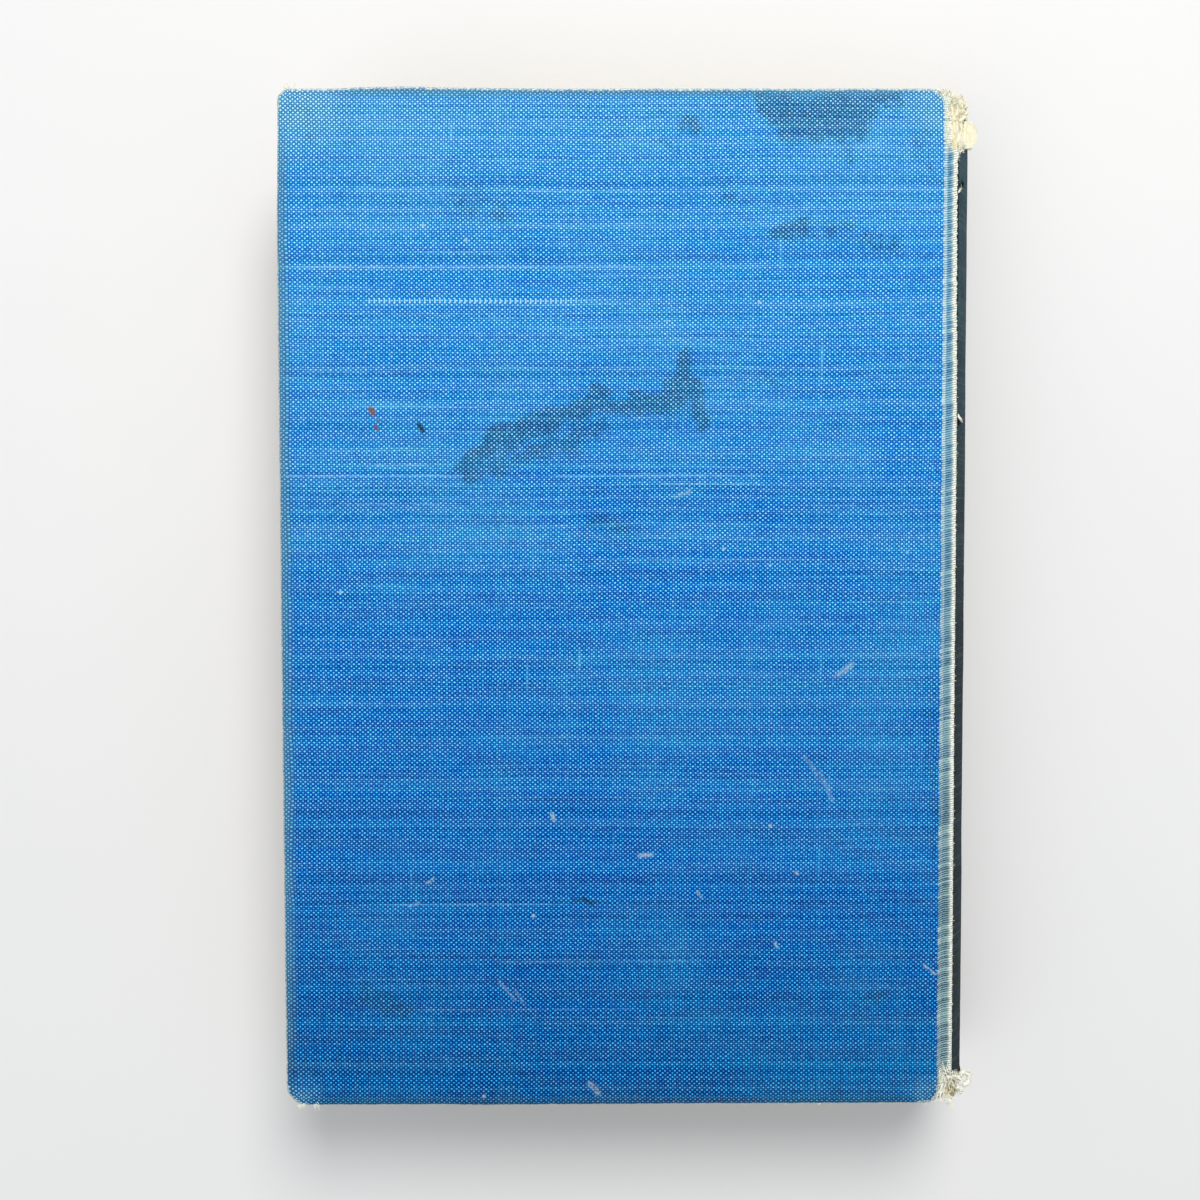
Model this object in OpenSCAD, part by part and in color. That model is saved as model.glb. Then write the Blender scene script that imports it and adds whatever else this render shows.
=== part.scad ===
// Old cloth-bound hardback book with a rounded spine, worn at its corners and torn at both ends of the spine.
// It lies on its front cover: the spine is towards +X, the head towards +Y, and the back cover is on top.
// The origin is under the middle of the book, on the surface that it lies on. All sizes are in millimetres.

/* [Leaves] */
// Height of the trimmed leaves, from tail to head
page_h = 187; // [120:1:300]
// Width of the leaves, from the fore-edge to the ridge
page_w = 123.8; // [80:0.1:220]
// Thickness of all the leaves together
page_stack = 21.2; // [12:0.1:50]
// Thickness of an endpaper sheet
endpaper_t = 0.15; // [0.1:0.01:0.3]

/* [Case] */
// Thickness of the binder's boards
board_t = 2.4; // [1.8:0.1:3.6]
// Thickness of the book cloth
cloth_t = 0.35; // [0.2:0.01:0.5]
// Width by which the case stands out past the leaves
square_w = 3; // [2:0.1:6]
// Width of the cloth turned in over each edge of a board
turn_in_w = 15; // [8:0.5:25]
// Rounding of the cloth over the edges of a board
edge_r = 0.8; // [0.6:0.05:1.2]

/* [Worn corners of the covers] */
// Back cover, head corner at the fore-edge
head_fore_r = 2.4; // [1:0.1:6]
// Back cover, tail corner at the fore-edge
tail_fore_r = 3.6; // [1:0.1:6]
// Back cover, head corner at the joint
head_joint_r = 3.2; // [1:0.1:6]
// Back cover, tail corner at the joint
tail_joint_r = 2.6; // [1:0.1:6]
// Every corner of the front cover
front_corner_r = 2.4; // [1:0.1:6]

/* [Joints and spine] */
// Distance from the edge of a board to the top of the ridge
joint_w = 1.75; // [1.4:0.05:3]
// Depth of the ridge below the outside of the boards
ridge_drop = 0.6; // [0.3:0.05:1.2]
// Outer radius of the cloth over the ridge
ridge_r = 1.2; // [1:0.05:1.6]
// Slope of the shoulder
shoulder_angle = 60; // [50:1:70]
// Distance by which the spine stands out past the ridge
spine_bulge = 5.1; // [4:0.1:8]
// Thickness of the spine inlay card
card_t = 0.6; // [0.3:0.05:0.8]
// Distance that the card stops short of each ridge
card_inset = 0.9; // [0.5:0.1:3]
// Space between the card and the lining of the leaves
hollow = 0.45; // [0.4:0.05:1]
// Thickness of the paper lining on the back of the leaves
lining_t = 0.2; // [0.1:0.05:0.4]
// Distance that the lining stops short of each ridge
lining_inset = 2.5; // [1:0.1:5]
// Distance that the lining stops short of the head and tail of the leaves
lining_short = 6; // [2:0.5:20]
// Thickness of the gauze
gauze_t = 0.25; // [0.1:0.01:0.3]
// Width of the gauze flap that is pasted to a board
gauze_flap_w = 25; // [10:1:40]
// Width by which the ridge of the leaves sits behind the ridge of the cloth
ridge_setback = 0.5; // [0.3:0.05:0.8]
// Radius of the gauze where it bends over the ridge of the leaves
leaf_ridge_r = 0.35; // [0.3:0.05:0.5]
// Space between a cover and the joint strip that it turns beside
hinge_gap = 0.3; // [0.2:0.05:0.5]

/* [Tears of the spine cloth] */
// Length of cloth lost at the head, beside the back cover
head_tear = 12.2; // [4:0.1:30]
// Distance round the spine, below the back cover, at which the head tear ends
head_tear_reach = 20; // [8:0.5:24]
// Length of cloth lost at the tail, beside the back cover
tail_tear = 5.4; // [2:0.1:30]
// Distance round the spine, below the back cover, at which the tail tear ends
tail_tear_reach = 15; // [8:0.5:24]
// Width of cloth left in the joint beside each tear
joint_left_w = 1.1; // [0.6:0.05:1.3]
// Depth of the ragged teeth along a tear
tear_tooth = 0.45; // [0:0.05:1]
// Distances of the two nicks from the head
nick_at = [18.2, 62.6];
// Length and depth of a nick
nick_size = [1.3, 4.5];

/* [Torn inlay card] */
// Length of card lost at the head
card_loss = 1.5; // [0.5:0.1:6]
// Length of the flake that stands out of the card
flake_len = 4.8; // [2:0.1:10]
// Distance from the head to the root of the flake
flake_at = 10.6; // [6:0.1:30]
// Distance from the top of the back cover down to the flake
flake_drop = 3.7; // [3.4:0.1:10]
// Thickness of the flake
flake_t = 0.3; // [0.2:0.05:0.6]
// Droop of the flake
flake_droop = 8; // [4:1:20]

/* [Hidden] */
$fn = 64;
// Steps in a half of the spine curve, in the bend over a ridge, and in the edge of a tear
spine_steps = 24;
ridge_steps = 8;
tear_steps = 28;
// Waves of the ragged edge along a tear
tear_fine = 8.6;
tear_coarse = 3.1;
// Overrun of a cutting shape past what it cuts
over = 1;

// Stack of a cover, from the outside in
board_in = cloth_t + board_t;
turn_in_top = board_in + cloth_t;
cover_t = turn_in_top + endpaper_t;
case_t = page_stack + 2 * (endpaper_t + cover_t);
mid = case_t / 2;
leaf_half = page_stack / 2;
flyleaf_half = leaf_half + endpaper_t;

// Outline of a cover, with x = 0 at the top of the ridge
cover_h = page_h + 2 * square_w;
cover_x0 = -page_w - square_w;
cover_x1 = -joint_w;
window_y = cover_h / 2 - turn_in_w;
strip_x = cover_x1 + hinge_gap;
centre_x = (cover_x0 + spine_bulge) / 2;

// Directions up the shoulder and out of it
up_slope = [cos(shoulder_angle), sin(shoulder_angle)];
off_slope = [-sin(shoulder_angle), cos(shoulder_angle)];

// Cloth: centre of the ridge bend, and centre and radius of the spine curve that it runs into
ridge_c = [0, mid - ridge_drop - ridge_r];
cloth_cx = spine_centre(ridge_c, ridge_r, spine_bulge);
cloth_r = spine_bulge - cloth_cx;
card_half_a = half_angle(ridge_c, cloth_cx, cloth_r, card_inset);

// Back of the leaves: its own ridge bend, set back down the shoulder, and its own spine curve
leaf_apex = spine_bulge - cloth_t - card_t - hollow - lining_t - gauze_t;
leaf_ridge = ridge_c + (ridge_r - cloth_t - gauze_t - leaf_ridge_r) * off_slope - ridge_setback * up_slope;
leaf_cx = spine_centre(leaf_ridge, leaf_ridge_r, leaf_apex);
leaf_r = leaf_apex - leaf_cx;
lining_half_a = half_angle(leaf_ridge, leaf_cx, leaf_r, lining_inset);

// Shoulder of the leaves, under both layers of the folded endpaper, up to the bend over their ridge
shoulder_in = leaf_ridge_r - 2 * endpaper_t;
shoulder_p = leaf_ridge + shoulder_in * off_slope;
shoulder_base = shoulder_p + (leaf_half - shoulder_p.y) / up_slope.y * up_slope;
shoulder_top = shoulder_p + sqrt(leaf_ridge_r * leaf_ridge_r - shoulder_in * shoulder_in) * up_slope;
shoulder_top_a = shoulder_angle + asin(shoulder_in / leaf_ridge_r);

// Fore-edge of the leaves: as hollow as their back is round, because all the leaves are equally wide
fore_sag = leaf_apex - shoulder_top.x;
fore_r = (leaf_half * leaf_half + fore_sag * fore_sag) / (2 * fore_sag);

// Position on the mid-line of the circle that passes through the apex and runs into the ridge bend smoothly
function spine_centre(c, r, apex) =
    (pow(apex - r, 2) - c.x * c.x - c.y * c.y) / (2 * (apex - r - c.x));

function arc(c, r, from, to, steps) =
    [for (i = [0:steps]) c + r * [cos(from + (to - from) * i / steps), sin(from + (to - from) * i / steps)]];

function mirrored(points) = [for (p = points) [p.x, -p.y]];

function reversed(points) = [for (i = [len(points) - 1:-1:0]) points[i]];

// Foot of a layer's slope, in the joint beside the cover
function slope_foot(c, r) =
    let (top = c + r * off_slope)
    top - (top.x - strip_x) / up_slope.x * up_slope;

// Half of a layer's line: up the shoulder from the joint, over the ridge, and round the spine to the mid-line
function half_line(c, r, cx, big_r) =
    let (turn = half_angle(c, cx, big_r, 0))
    concat(
        [slope_foot(c, r)],
        arc(c, r, 90 + shoulder_angle, turn, ridge_steps),
        arc([cx, 0], big_r, turn, 0, spine_steps)
    );

function whole_line(half) = concat(half, reversed(mirrored(half)));

function cloth_line(inset) = half_line(ridge_c, ridge_r - inset, cloth_cx, cloth_r - inset);

function leaf_line(out) = half_line(leaf_ridge, leaf_ridge_r + out, leaf_cx, leaf_r + out);

// Region between two lines that both run from joint to joint
module between(outer, inner) {
    polygon(concat(whole_line(outer), reversed(whole_line(inner))));
}

// Half the angle that a layer of the spine covers, when it stops short of the bend over a ridge
function half_angle(c, cx, r, short) = atan2(c.y, c.x - cx) - short / r * 180 / PI;

// Part of a ring round [cx, 0], between two radii and up to the same angle on each side of the mid-line
module band(cx, r0, r1, half_a) {
    polygon(concat(
        arc([cx, 0], r1, half_a, -half_a, 2 * spine_steps),
        arc([cx, 0], r0, -half_a, half_a, 2 * spine_steps)
    ));
}

// Stands a section up, with its mid-line at half the thickness of the book, and runs it along the spine
module along_spine(length) {
    translate([-centre_x, 0, mid])
        rotate([90, 0, 0])
            linear_extrude(length, center = true)
                children();
}

// Turns what is drawn for the back cover over, to the front cover
module front_side() {
    translate([0, 0, case_t])
        mirror([0, 0, 1])
            children();
}

// Rectangle with its own radius at each corner: low-left, low-right, high-right, high-left
module plate(x0, y0, x1, y1, radii) {
    corners = [[x0, y0, 1, 1], [x1, y0, -1, 1], [x1, y1, -1, -1], [x0, y1, 1, -1]];
    difference() {
        translate([x0, y0])
            square([x1 - x0, y1 - y0]);
        for (i = [0:3])
            if (radii[i] > 0)
                translate([corners[i][0], corners[i][1]])
                    difference() {
                        translate([
                            corners[i][2] > 0 ? -over : -radii[i],
                            corners[i][3] > 0 ? -over : -radii[i]
                        ])
                            square(radii[i] + over);
                        translate([corners[i][2] * radii[i], corners[i][3] * radii[i]])
                            circle(radii[i]);
                    }
    }
}

// Cover-shaped slab from z0 up to z1, all its edges set in and rounded, with its outside face down
module slab(inset, z0, z1, radii, round_r, top_r) {
    x0 = cover_x0 + inset;
    x1 = cover_x1 - inset;
    y1 = cover_h / 2 - inset;
    intersection() {
        translate([0, 0, z0])
            linear_extrude(z1 - z0)
                plate(x0, -y1, x1, y1, [for (r = radii) r - inset]);
        rotate([90, 0, 0])
            linear_extrude(2 * y1 + 2 * over, center = true)
                plate(x0, z0, x1, z1, [round_r, round_r, 0, top_r]);
        translate([x0 - over, 0, 0])
            rotate([90, 0, 90])
                linear_extrude(x1 - x0 + 2 * over)
                    plate(-y1, z0, y1, z1, [round_r, round_r, top_r, top_r]);
    }
}

module box(x0, y0, z0, x1, y1, z1) {
    translate([x0, y0, z0])
        cube([x1 - x0, y1 - y0, z1 - z0]);
}

// Board of the front cover, where it lies
module board(radii) {
    translate([-centre_x, 0, 0])
        slab(cloth_t, cloth_t, board_in, radii, edge_r - cloth_t, edge_r - cloth_t);
}

// Cloth of the front cover: over the outside, round the edges and turned in at head, tail and fore-edge
module cover_cloth(radii) {
    difference() {
        translate([-centre_x, 0, 0])
            slab(0, 0, turn_in_top, radii, edge_r, edge_r);
        board(radii);
        translate([-centre_x, 0, 0])
            box(cover_x0 + turn_in_w, -window_y, board_in, 0, window_y, cover_t);
    }
}

// Gauze flap pasted to the front board, between the turn-ins
module gauze_flap() {
    translate([-centre_x, 0, 0])
        box(cover_x1 - gauze_flap_w, -window_y, board_in, cover_x1, window_y, board_in + gauze_t);
}

// Paper pasted over the front board, its turn-ins and its gauze flap, and pressed down at each step
module pastedown() {
    window_x = cover_x0 + turn_in_w;
    flap_x = cover_x1 - gauze_flap_w;
    difference() {
        translate([-centre_x, 0, 0])
            difference() {
                box(-page_w, -page_h / 2, board_in, cover_x1, page_h / 2, cover_t);
                difference() {
                    box(cover_x0, -cover_h / 2, 0, 0, cover_h / 2, turn_in_top);
                    box(window_x, -window_y, -over, over, window_y, cover_t);
                }
                box(window_x + endpaper_t, -window_y + endpaper_t, board_in + endpaper_t,
                    flap_x - endpaper_t, window_y - endpaper_t, cover_t + over);
                box(window_x + endpaper_t, -window_y + endpaper_t, board_in + gauze_t + endpaper_t,
                    over, window_y - endpaper_t, cover_t + over);
            }
        gauze_flap();
    }
}

// Back flyleaf: flat on the leaves, up the shoulder, folded at the ridge and back down to the joint
module flyleaf() {
    along_spine(page_h)
        polygon(concat(
            [[-page_w, flyleaf_half], [-page_w, leaf_half], shoulder_base],
            arc(leaf_ridge, leaf_ridge_r, shoulder_top_a, 90 + shoulder_angle, ridge_steps),
            [slope_foot(leaf_ridge, leaf_ridge_r), [strip_x, flyleaf_half]]
        ));
}

// Loss along a tear: most beside the back cover, less and less round the spine, with ragged teeth
function tear_depth(deepest, share) =
    deepest * (1 + cos(180 * share)) / 2
    + tear_tooth * (sin(360 * tear_fine * share) + sin(360 * tear_coarse * share)) * (1 - share);

// Cloth that is gone at one end of the spine, from that end inwards along -Y
module tear(deepest, reach) {
    top = mid + over;
    translate([-centre_x + strip_x - hinge_gap + joint_left_w, cover_h / 2, mid])
        rotate([90, 0, 90])
            linear_extrude(spine_bulge - strip_x)
                polygon(concat(
                    [[over, mid - reach], [over, top], [-tear_depth(deepest, 0), top]],
                    [for (i = [0:tear_steps]) [-tear_depth(deepest, i / tear_steps), mid - reach * i / tear_steps]]
                ));
}

// Nick in the spine cloth, open from the ridge down
module nick(at) {
    top = mid - ridge_drop;
    translate([-centre_x, cover_h / 2 - at, mid])
        rotate([90, 0, 90])
            linear_extrude(spine_bulge)
                polygon([
                    [-nick_size.x / 2, top], [-nick_size.x / 4, top - nick_size.y / 2],
                    [-nick_size.x / 2, top - nick_size.y], [nick_size.x / 2, top - nick_size.y * 0.7]
                ]);
}

// Torn flake of the card: held at its root, free of the card along a slit, and drooping outwards
module flake() {
    root_x = cloth_cx + sqrt(pow(cloth_r - cloth_t, 2) - pow(mid - flake_drop, 2)) - card_t / 2;
    reach = spine_bulge - root_x;
    translate([root_x - centre_x, cover_h / 2 - flake_at, case_t - flake_drop])
        rotate([0, flake_droop, 0])
            translate([0, 0, -flake_t])
                linear_extrude(flake_t)
                    polygon([
                        [0, 0], [0, 0.2 * flake_len], [0.32 * reach, 0.27 * flake_len],
                        [0.36 * reach, 0.92 * flake_len], [0.45 * reach, flake_len], [0.76 * reach, 0.86 * flake_len],
                        [reach, 0.6 * flake_len], [0.92 * reach, 0.33 * flake_len], [0.7 * reach, 0.06 * flake_len]
                    ]);
}

module text_block() {
    fore_cx = -page_w + fore_sag - fore_r;
    fore_a = asin(leaf_half / fore_r);
    ridge_end = half_angle(leaf_ridge, leaf_cx, leaf_r, 0);
    shoulder = concat([shoulder_base], arc(leaf_ridge, leaf_ridge_r, shoulder_top_a, ridge_end, ridge_steps));
    color("#d8c9a3")
        along_spine(page_h)
            polygon(concat(
                arc([fore_cx, 0], fore_r, -fore_a, fore_a, spine_steps),
                shoulder,
                arc([leaf_cx, 0], leaf_r, ridge_end, -ridge_end, 2 * spine_steps),
                reversed(mirrored(shoulder))
            ));
}

module back_flyleaf() {
    color("#e2d8bd")
        flyleaf();
}

module front_flyleaf() {
    color("#e2d8bd")
        front_side()
            flyleaf();
}

// Gauze over the back of the leaves, both ridges and both shoulders
module spine_gauze() {
    color("#dad3bc")
        along_spine(2 * window_y)
            between(leaf_line(gauze_t), leaf_line(0));
}

// Paper pasted over the gauze, between the ridges
module spine_lining() {
    color("#b79c6d")
        along_spine(2 * window_y - 2 * lining_short)
            band(leaf_cx, leaf_r + gauze_t, leaf_r + gauze_t + lining_t, lining_half_a);
}

// Stiffening card pasted inside the spine cloth, broken at the head
module spine_card() {
    color("#ece6cb") {
        difference() {
            along_spine(cover_h - 2 * cloth_t)
                band(cloth_cx, cloth_r - cloth_t - card_t, cloth_r - cloth_t, card_half_a);
            tear(card_loss, head_tear_reach);
        }
        flake();
    }
}

// Cloth over the spine and down into both joints, turned in over the card, then torn at head and tail
module spine_cloth() {
    card_end = cover_h / 2 - cloth_t;
    color("#2f3f46")
        difference() {
            union() {
                along_spine(cover_h)
                    between(cloth_line(0), cloth_line(cloth_t));
                difference() {
                    along_spine(cover_h)
                        band(cloth_cx, cloth_r - 2 * cloth_t - card_t, cloth_r - cloth_t, card_half_a);
                    along_spine(cover_h - 2 * turn_in_w)
                        square(2 * cover_h, center = true);
                    along_spine(2 * card_end)
                        band(cloth_cx, cloth_r - cloth_t - card_t, cloth_r - cloth_t, card_half_a + over);
                }
            }
            tear(head_tear, head_tear_reach);
            mirror([0, 1, 0])
                tear(tail_tear, tail_tear_reach);
            for (at = nick_at)
                nick(at);
        }
}

module front_board() {
    color("#8d8472")
        board([for (i = [0:3]) front_corner_r]);
}

module front_cloth() {
    color("#3f7fc0")
        cover_cloth([for (i = [0:3]) front_corner_r]);
}

module front_gauze_flap() {
    color("#dad3bc")
        gauze_flap();
}

module front_pastedown() {
    color("#e2d8bd")
        pastedown();
}

module back_board() {
    color("#8d8472")
        front_side()
            board([tail_fore_r, tail_joint_r, head_joint_r, head_fore_r]);
}

module back_cloth() {
    color("#3f7fc0")
        front_side()
            cover_cloth([tail_fore_r, tail_joint_r, head_joint_r, head_fore_r]);
}

module back_gauze_flap() {
    color("#dad3bc")
        front_side()
            gauze_flap();
}

module back_pastedown() {
    color("#e2d8bd")
        front_side()
            pastedown();
}

text_block();
front_flyleaf();
back_flyleaf();
spine_gauze();
spine_lining();
spine_card();
spine_cloth();
front_board();
front_cloth();
front_gauze_flap();
front_pastedown();
back_board();
back_cloth();
back_gauze_flap();
back_pastedown();
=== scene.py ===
import math
import random
from functools import partialmethod
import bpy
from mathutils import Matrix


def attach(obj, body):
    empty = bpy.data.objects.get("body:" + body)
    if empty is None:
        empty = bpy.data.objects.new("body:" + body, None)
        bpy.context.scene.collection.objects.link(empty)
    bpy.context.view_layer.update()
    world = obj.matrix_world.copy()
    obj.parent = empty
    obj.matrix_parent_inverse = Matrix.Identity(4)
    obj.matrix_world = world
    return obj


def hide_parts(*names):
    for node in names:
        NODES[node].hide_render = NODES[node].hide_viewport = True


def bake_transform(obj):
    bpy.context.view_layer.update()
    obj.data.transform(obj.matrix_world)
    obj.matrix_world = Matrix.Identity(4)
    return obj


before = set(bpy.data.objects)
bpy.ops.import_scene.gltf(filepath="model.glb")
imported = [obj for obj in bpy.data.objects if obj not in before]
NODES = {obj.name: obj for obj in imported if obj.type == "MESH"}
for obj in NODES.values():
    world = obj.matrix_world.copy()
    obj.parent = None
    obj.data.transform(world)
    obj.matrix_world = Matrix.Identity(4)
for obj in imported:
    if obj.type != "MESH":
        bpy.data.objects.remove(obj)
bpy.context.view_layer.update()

from types import SimpleNamespace

import bmesh
import bpy
import numpy as np
from mathutils import Euler, Vector

MM = 0.001


def extent(name):
    """The lowest and the highest corner of a CAD node's box, in mm."""
    co = np.array([v.co for v in NODES[name].data.vertices]) / MM
    return co.min(axis=0).round(3).tolist(), co.max(axis=0).round(3).tolist()


# driving sizes from the frame, in mm: the back cover in its cloth, the leaves, the gauze flap and the spine
(X0, Y0, UNDER), (X1, Y1, TOP) = extent("back_cloth")
(PAGE_X0, _, _), (_, PAGE_Y1, _) = extent("text_block")
_, (_, GAUZE_Y, GAUZE_Z) = extent("back_gauze_flap")
SPINE_R = 22.232  # the radius of the spine cloth's outer face, and of the inlay card's under it
CARD_R = 21.98
SPINE_X, SPINE_Z = round(extent("spine_cloth")[1][0] - SPINE_R, 3), TOP / 2

# ---------------------------------------------------------------- camera: the photograph is taken from straight above
IMAGE, FOCAL = 1200, 1400.0
cam_data = bpy.data.cameras.new("camera")
cam_data.sensor_width = 36.0
cam_data.lens = cam_data.sensor_width * FOCAL / IMAGE
cam = bpy.data.objects.new("camera", cam_data)
cam.location = Vector((-7.08, 11.18, 292.43)) * MM
cam.rotation_euler = Euler([math.radians(a) for a in (-2.274, -0.266, -0.096)])
bpy.context.scene.collection.objects.link(cam)
bpy.context.scene.camera = cam
CAM_M = cam.rotation_euler.to_matrix()


def px(u, v, z=TOP):
    """The point in mm, on the plane at height z, that the photograph shows at pixel u, v."""
    ray = CAM_M @ Vector(((u - IMAGE / 2) / FOCAL, -(v - IMAGE / 2) / FOCAL, -1))
    c = cam.location / MM
    k = (z - c.z) / ray.z
    return c.x + k * ray.x, c.y + k * ray.y


# ---------------------------------------------------------------- seeded smooth noise and curves for shapes
LATTICES = {}


def noise2(x, y, seed):
    """Value noise from -1 to 1 on a unit lattice."""
    if seed not in LATTICES:
        LATTICES[seed] = np.random.RandomState(seed).rand(64, 64) * 2 - 1
    table = LATTICES[seed]
    x, y = np.broadcast_arrays(np.asarray(x, float), np.asarray(y, float))
    i, j = np.floor(x).astype(int), np.floor(y).astype(int)
    fx, fy = x - i, y - j
    fx, fy = fx * fx * (3 - 2 * fx), fy * fy * (3 - 2 * fy)
    a, b = table[i % 64, j % 64], table[(i + 1) % 64, j % 64]
    c, d = table[i % 64, (j + 1) % 64], table[(i + 1) % 64, (j + 1) % 64]
    return (a * (1 - fx) + b * fx) * (1 - fy) + (c * (1 - fx) + d * fx) * fy


def smooth(e0, e1, x):
    """0 at e0 and 1 at e1, smooth between them."""
    t = np.clip((np.asarray(x, float) - e0) / (e1 - e0), 0, 1)
    return t * t * (3 - 2 * t)


def spline(points, n):
    """n + 1 points of a Catmull-Rom curve through points."""
    p = np.array(points, float)
    p = np.vstack([2 * p[0] - p[1], p, 2 * p[-1] - p[-2]])
    out = []
    m = len(p) - 3
    for q in np.linspace(0, m, n + 1):
        i = min(int(q), m - 1)
        t = q - i
        a, b, c, d = p[i:i + 4]
        square, cube = 2 * a - 5 * b + 4 * c - d, 3 * b - a - 3 * c + d
        out.append(0.5 * (2 * b + (c - a) * t + square * t * t + cube * t ** 3))
    return np.array(out)


def directions(path):
    """The unit tangent at each point of a path."""
    run = np.gradient(path, axis=0)
    return run / np.linalg.norm(run, axis=1)[:, None]


def row(*columns):
    """Points from their columns, each a number or an array."""
    return np.stack(np.broadcast_arrays(*columns), axis=-1)


def blank(nu, nv):
    """Empty grids for the outer and inner points of a sheet and its places on the flat cloth."""
    return np.zeros((nu, nv, 3)), np.zeros((nu, nv, 3)), np.zeros((nu, nv, 2))


# ---------------------------------------------------------------- meshes
FAR_IN = 9.0  # stands for any distance from a worn edge that is too far to matter


class Shell:
    """Vertices in mm with their own attributes, and faces."""

    def __init__(self):
        self.co, self.at, self.faces = [], [], []

    def add(self, p, cloth, edge=FAR_IN, width=0.0):
        """A vertex with its place on the flat cloth, its distance from a worn edge and the width of that wear."""
        self.co.append(tuple(float(c) for c in p))
        self.at.append((cloth[0], cloth[1], edge, width))
        return len(self.co) - 1

    def face(self, *ids):
        kept = [a for k, a in enumerate(ids) if a != ids[k - 1]]
        if len(set(kept)) >= 3:
            self.faces.append(kept)

    def turn_over(self):
        """From the back of the book to its front."""
        self.co = [(x, y, TOP - z) for x, y, z in self.co]


def build(name, shell, material, stain=None, corner=None):
    """The shell as an object. Its attributes: rest is a point's own place; cloth its place on the flat cloth and how
    soiled it is; wear its distance from a worn edge, how wide that wear is and how bleached the corner is."""
    me = bpy.data.meshes.new(name)
    co, at = np.array(shell.co), np.array(shell.at)
    me.from_pydata((co * MM).tolist(), [], shell.faces)
    third = [f(co) if f else np.zeros(len(co)) for f in (stain, corner)]
    for key, rows in (("rest", co), ("cloth", np.c_[at[:, :2], third[0]]), ("wear", np.c_[at[:, 2:], third[1]])):
        attribute = me.attributes.new(key, "FLOAT_VECTOR", "POINT")
        attribute.data.foreach_set("vector", rows.astype(np.float32).ravel())
    me.polygons.foreach_set("use_smooth", [True] * len(me.polygons))
    me.materials.append(material)
    bm = bmesh.new()
    bm.from_mesh(me)
    bmesh.ops.remove_doubles(bm, verts=bm.verts, dist=2e-7)
    bmesh.ops.dissolve_degenerate(bm, edges=bm.edges, dist=1e-7)
    bmesh.ops.recalc_face_normals(bm, faces=bm.faces)
    bm.to_mesh(me)
    bm.free()
    me.validate()
    ob = bpy.data.objects.new(name, me)
    bpy.context.scene.collection.objects.link(ob)
    return ob


def sheet_into(sh, outer, inner, cloth, keep, edge=None, width=None, first_out=None, first_in=None):
    """Closed thin sheet from grids of outer and inner points; keep says which cells stay.
    first_out and first_in are the vertex numbers that column 0 shares with another part of the shell, or -1."""
    nu, nv = outer.shape[:2]
    edge = np.full((nu, nv), FAR_IN) if edge is None else edge
    width = np.zeros((nu, nv)) if width is None else width
    shared = np.zeros(nv, bool) if first_out is None else first_out >= 0
    used = np.zeros((nu, nv), bool)
    for i, j in ((0, 0), (1, 0), (0, 1), (1, 1)):
        used[i:nu - 1 + i, j:nv - 1 + j] |= keep
    o, n = -np.ones((nu, nv), int), -np.ones((nu, nv), int)
    for i, j in np.argwhere(used):
        if i == 0 and shared[j]:
            o[i, j], n[i, j] = first_out[j], first_in[j]
        else:
            o[i, j], n[i, j] = (sh.add(side[i, j], cloth[i, j], edge[i, j], width[i, j]) for side in (outer, inner))
    for i, j in np.argwhere(keep):
        sh.face(o[i, j], o[i + 1, j], o[i + 1, j + 1], o[i, j + 1])
        sh.face(n[i, j], n[i, j + 1], n[i + 1, j + 1], n[i + 1, j])
        joined = shared[j] and shared[j + 1]
        if (i == 0 and not joined) or (i > 0 and not keep[i - 1, j]):
            sh.face(o[i, j], o[i, j + 1], n[i, j + 1], n[i, j])
        if i == nu - 2 or not keep[i + 1, j]:
            sh.face(o[i + 1, j], n[i + 1, j], n[i + 1, j + 1], o[i + 1, j + 1])
        if j == 0 or not keep[i, j - 1]:
            sh.face(o[i, j], n[i, j], n[i + 1, j], o[i + 1, j])
        if j == nv - 2 or not keep[i, j + 1]:
            sh.face(o[i, j + 1], o[i + 1, j + 1], n[i + 1, j + 1], n[i, j + 1])


def threads(name, material, body, strands, sides=5):
    """Frayed threads: each strand is (points in mm, radius in mm); its root stays in the cloth that it comes from."""
    sh = Shell()
    for points, radius in strands:
        p = np.array(points, float)
        tangent = np.gradient(p, axis=0)
        tangent /= np.linalg.norm(tangent, axis=1)[:, None] + 1e-9
        rings = []
        for k, (q, t) in enumerate(zip(p, tangent)):
            a = np.cross(t, (0.3, 0.5, 0.81))
            a /= np.linalg.norm(a) + 1e-9
            b = np.cross(t, a)
            r = radius * (1.0 - 0.55 * k / (len(p) - 1)) * (1 + 0.30 * float(noise2(k * 0.7, radius * 40, 98)))
            rings.append([sh.add(q + r * (math.cos(w) * a + math.sin(w) * b), (q[0], q[1]))
                          for w in np.linspace(0, 2 * math.pi, sides, endpoint=False)])
        for r0, r1 in zip(rings, rings[1:]):
            for k in range(sides):
                sh.face(r0[k], r0[(k + 1) % sides], r1[(k + 1) % sides], r1[k])
        sh.face(*rings[0][::-1])
        sh.face(*rings[-1])
    ob = build(name, sh, material)
    if body:
        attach(ob, body)
    return ob


# ---------------------------------------------------------------- procedural materials
def srgb(r, g, b):
    """A colour of the screen, 0 to 255, as a linear one."""
    linear = [c / 12.92 if c <= 0.04045 else ((c + 0.055) / 1.055) ** 2.4 for c in (r / 255, g / 255, b / 255)]
    return (*linear, 1.0)


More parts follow.
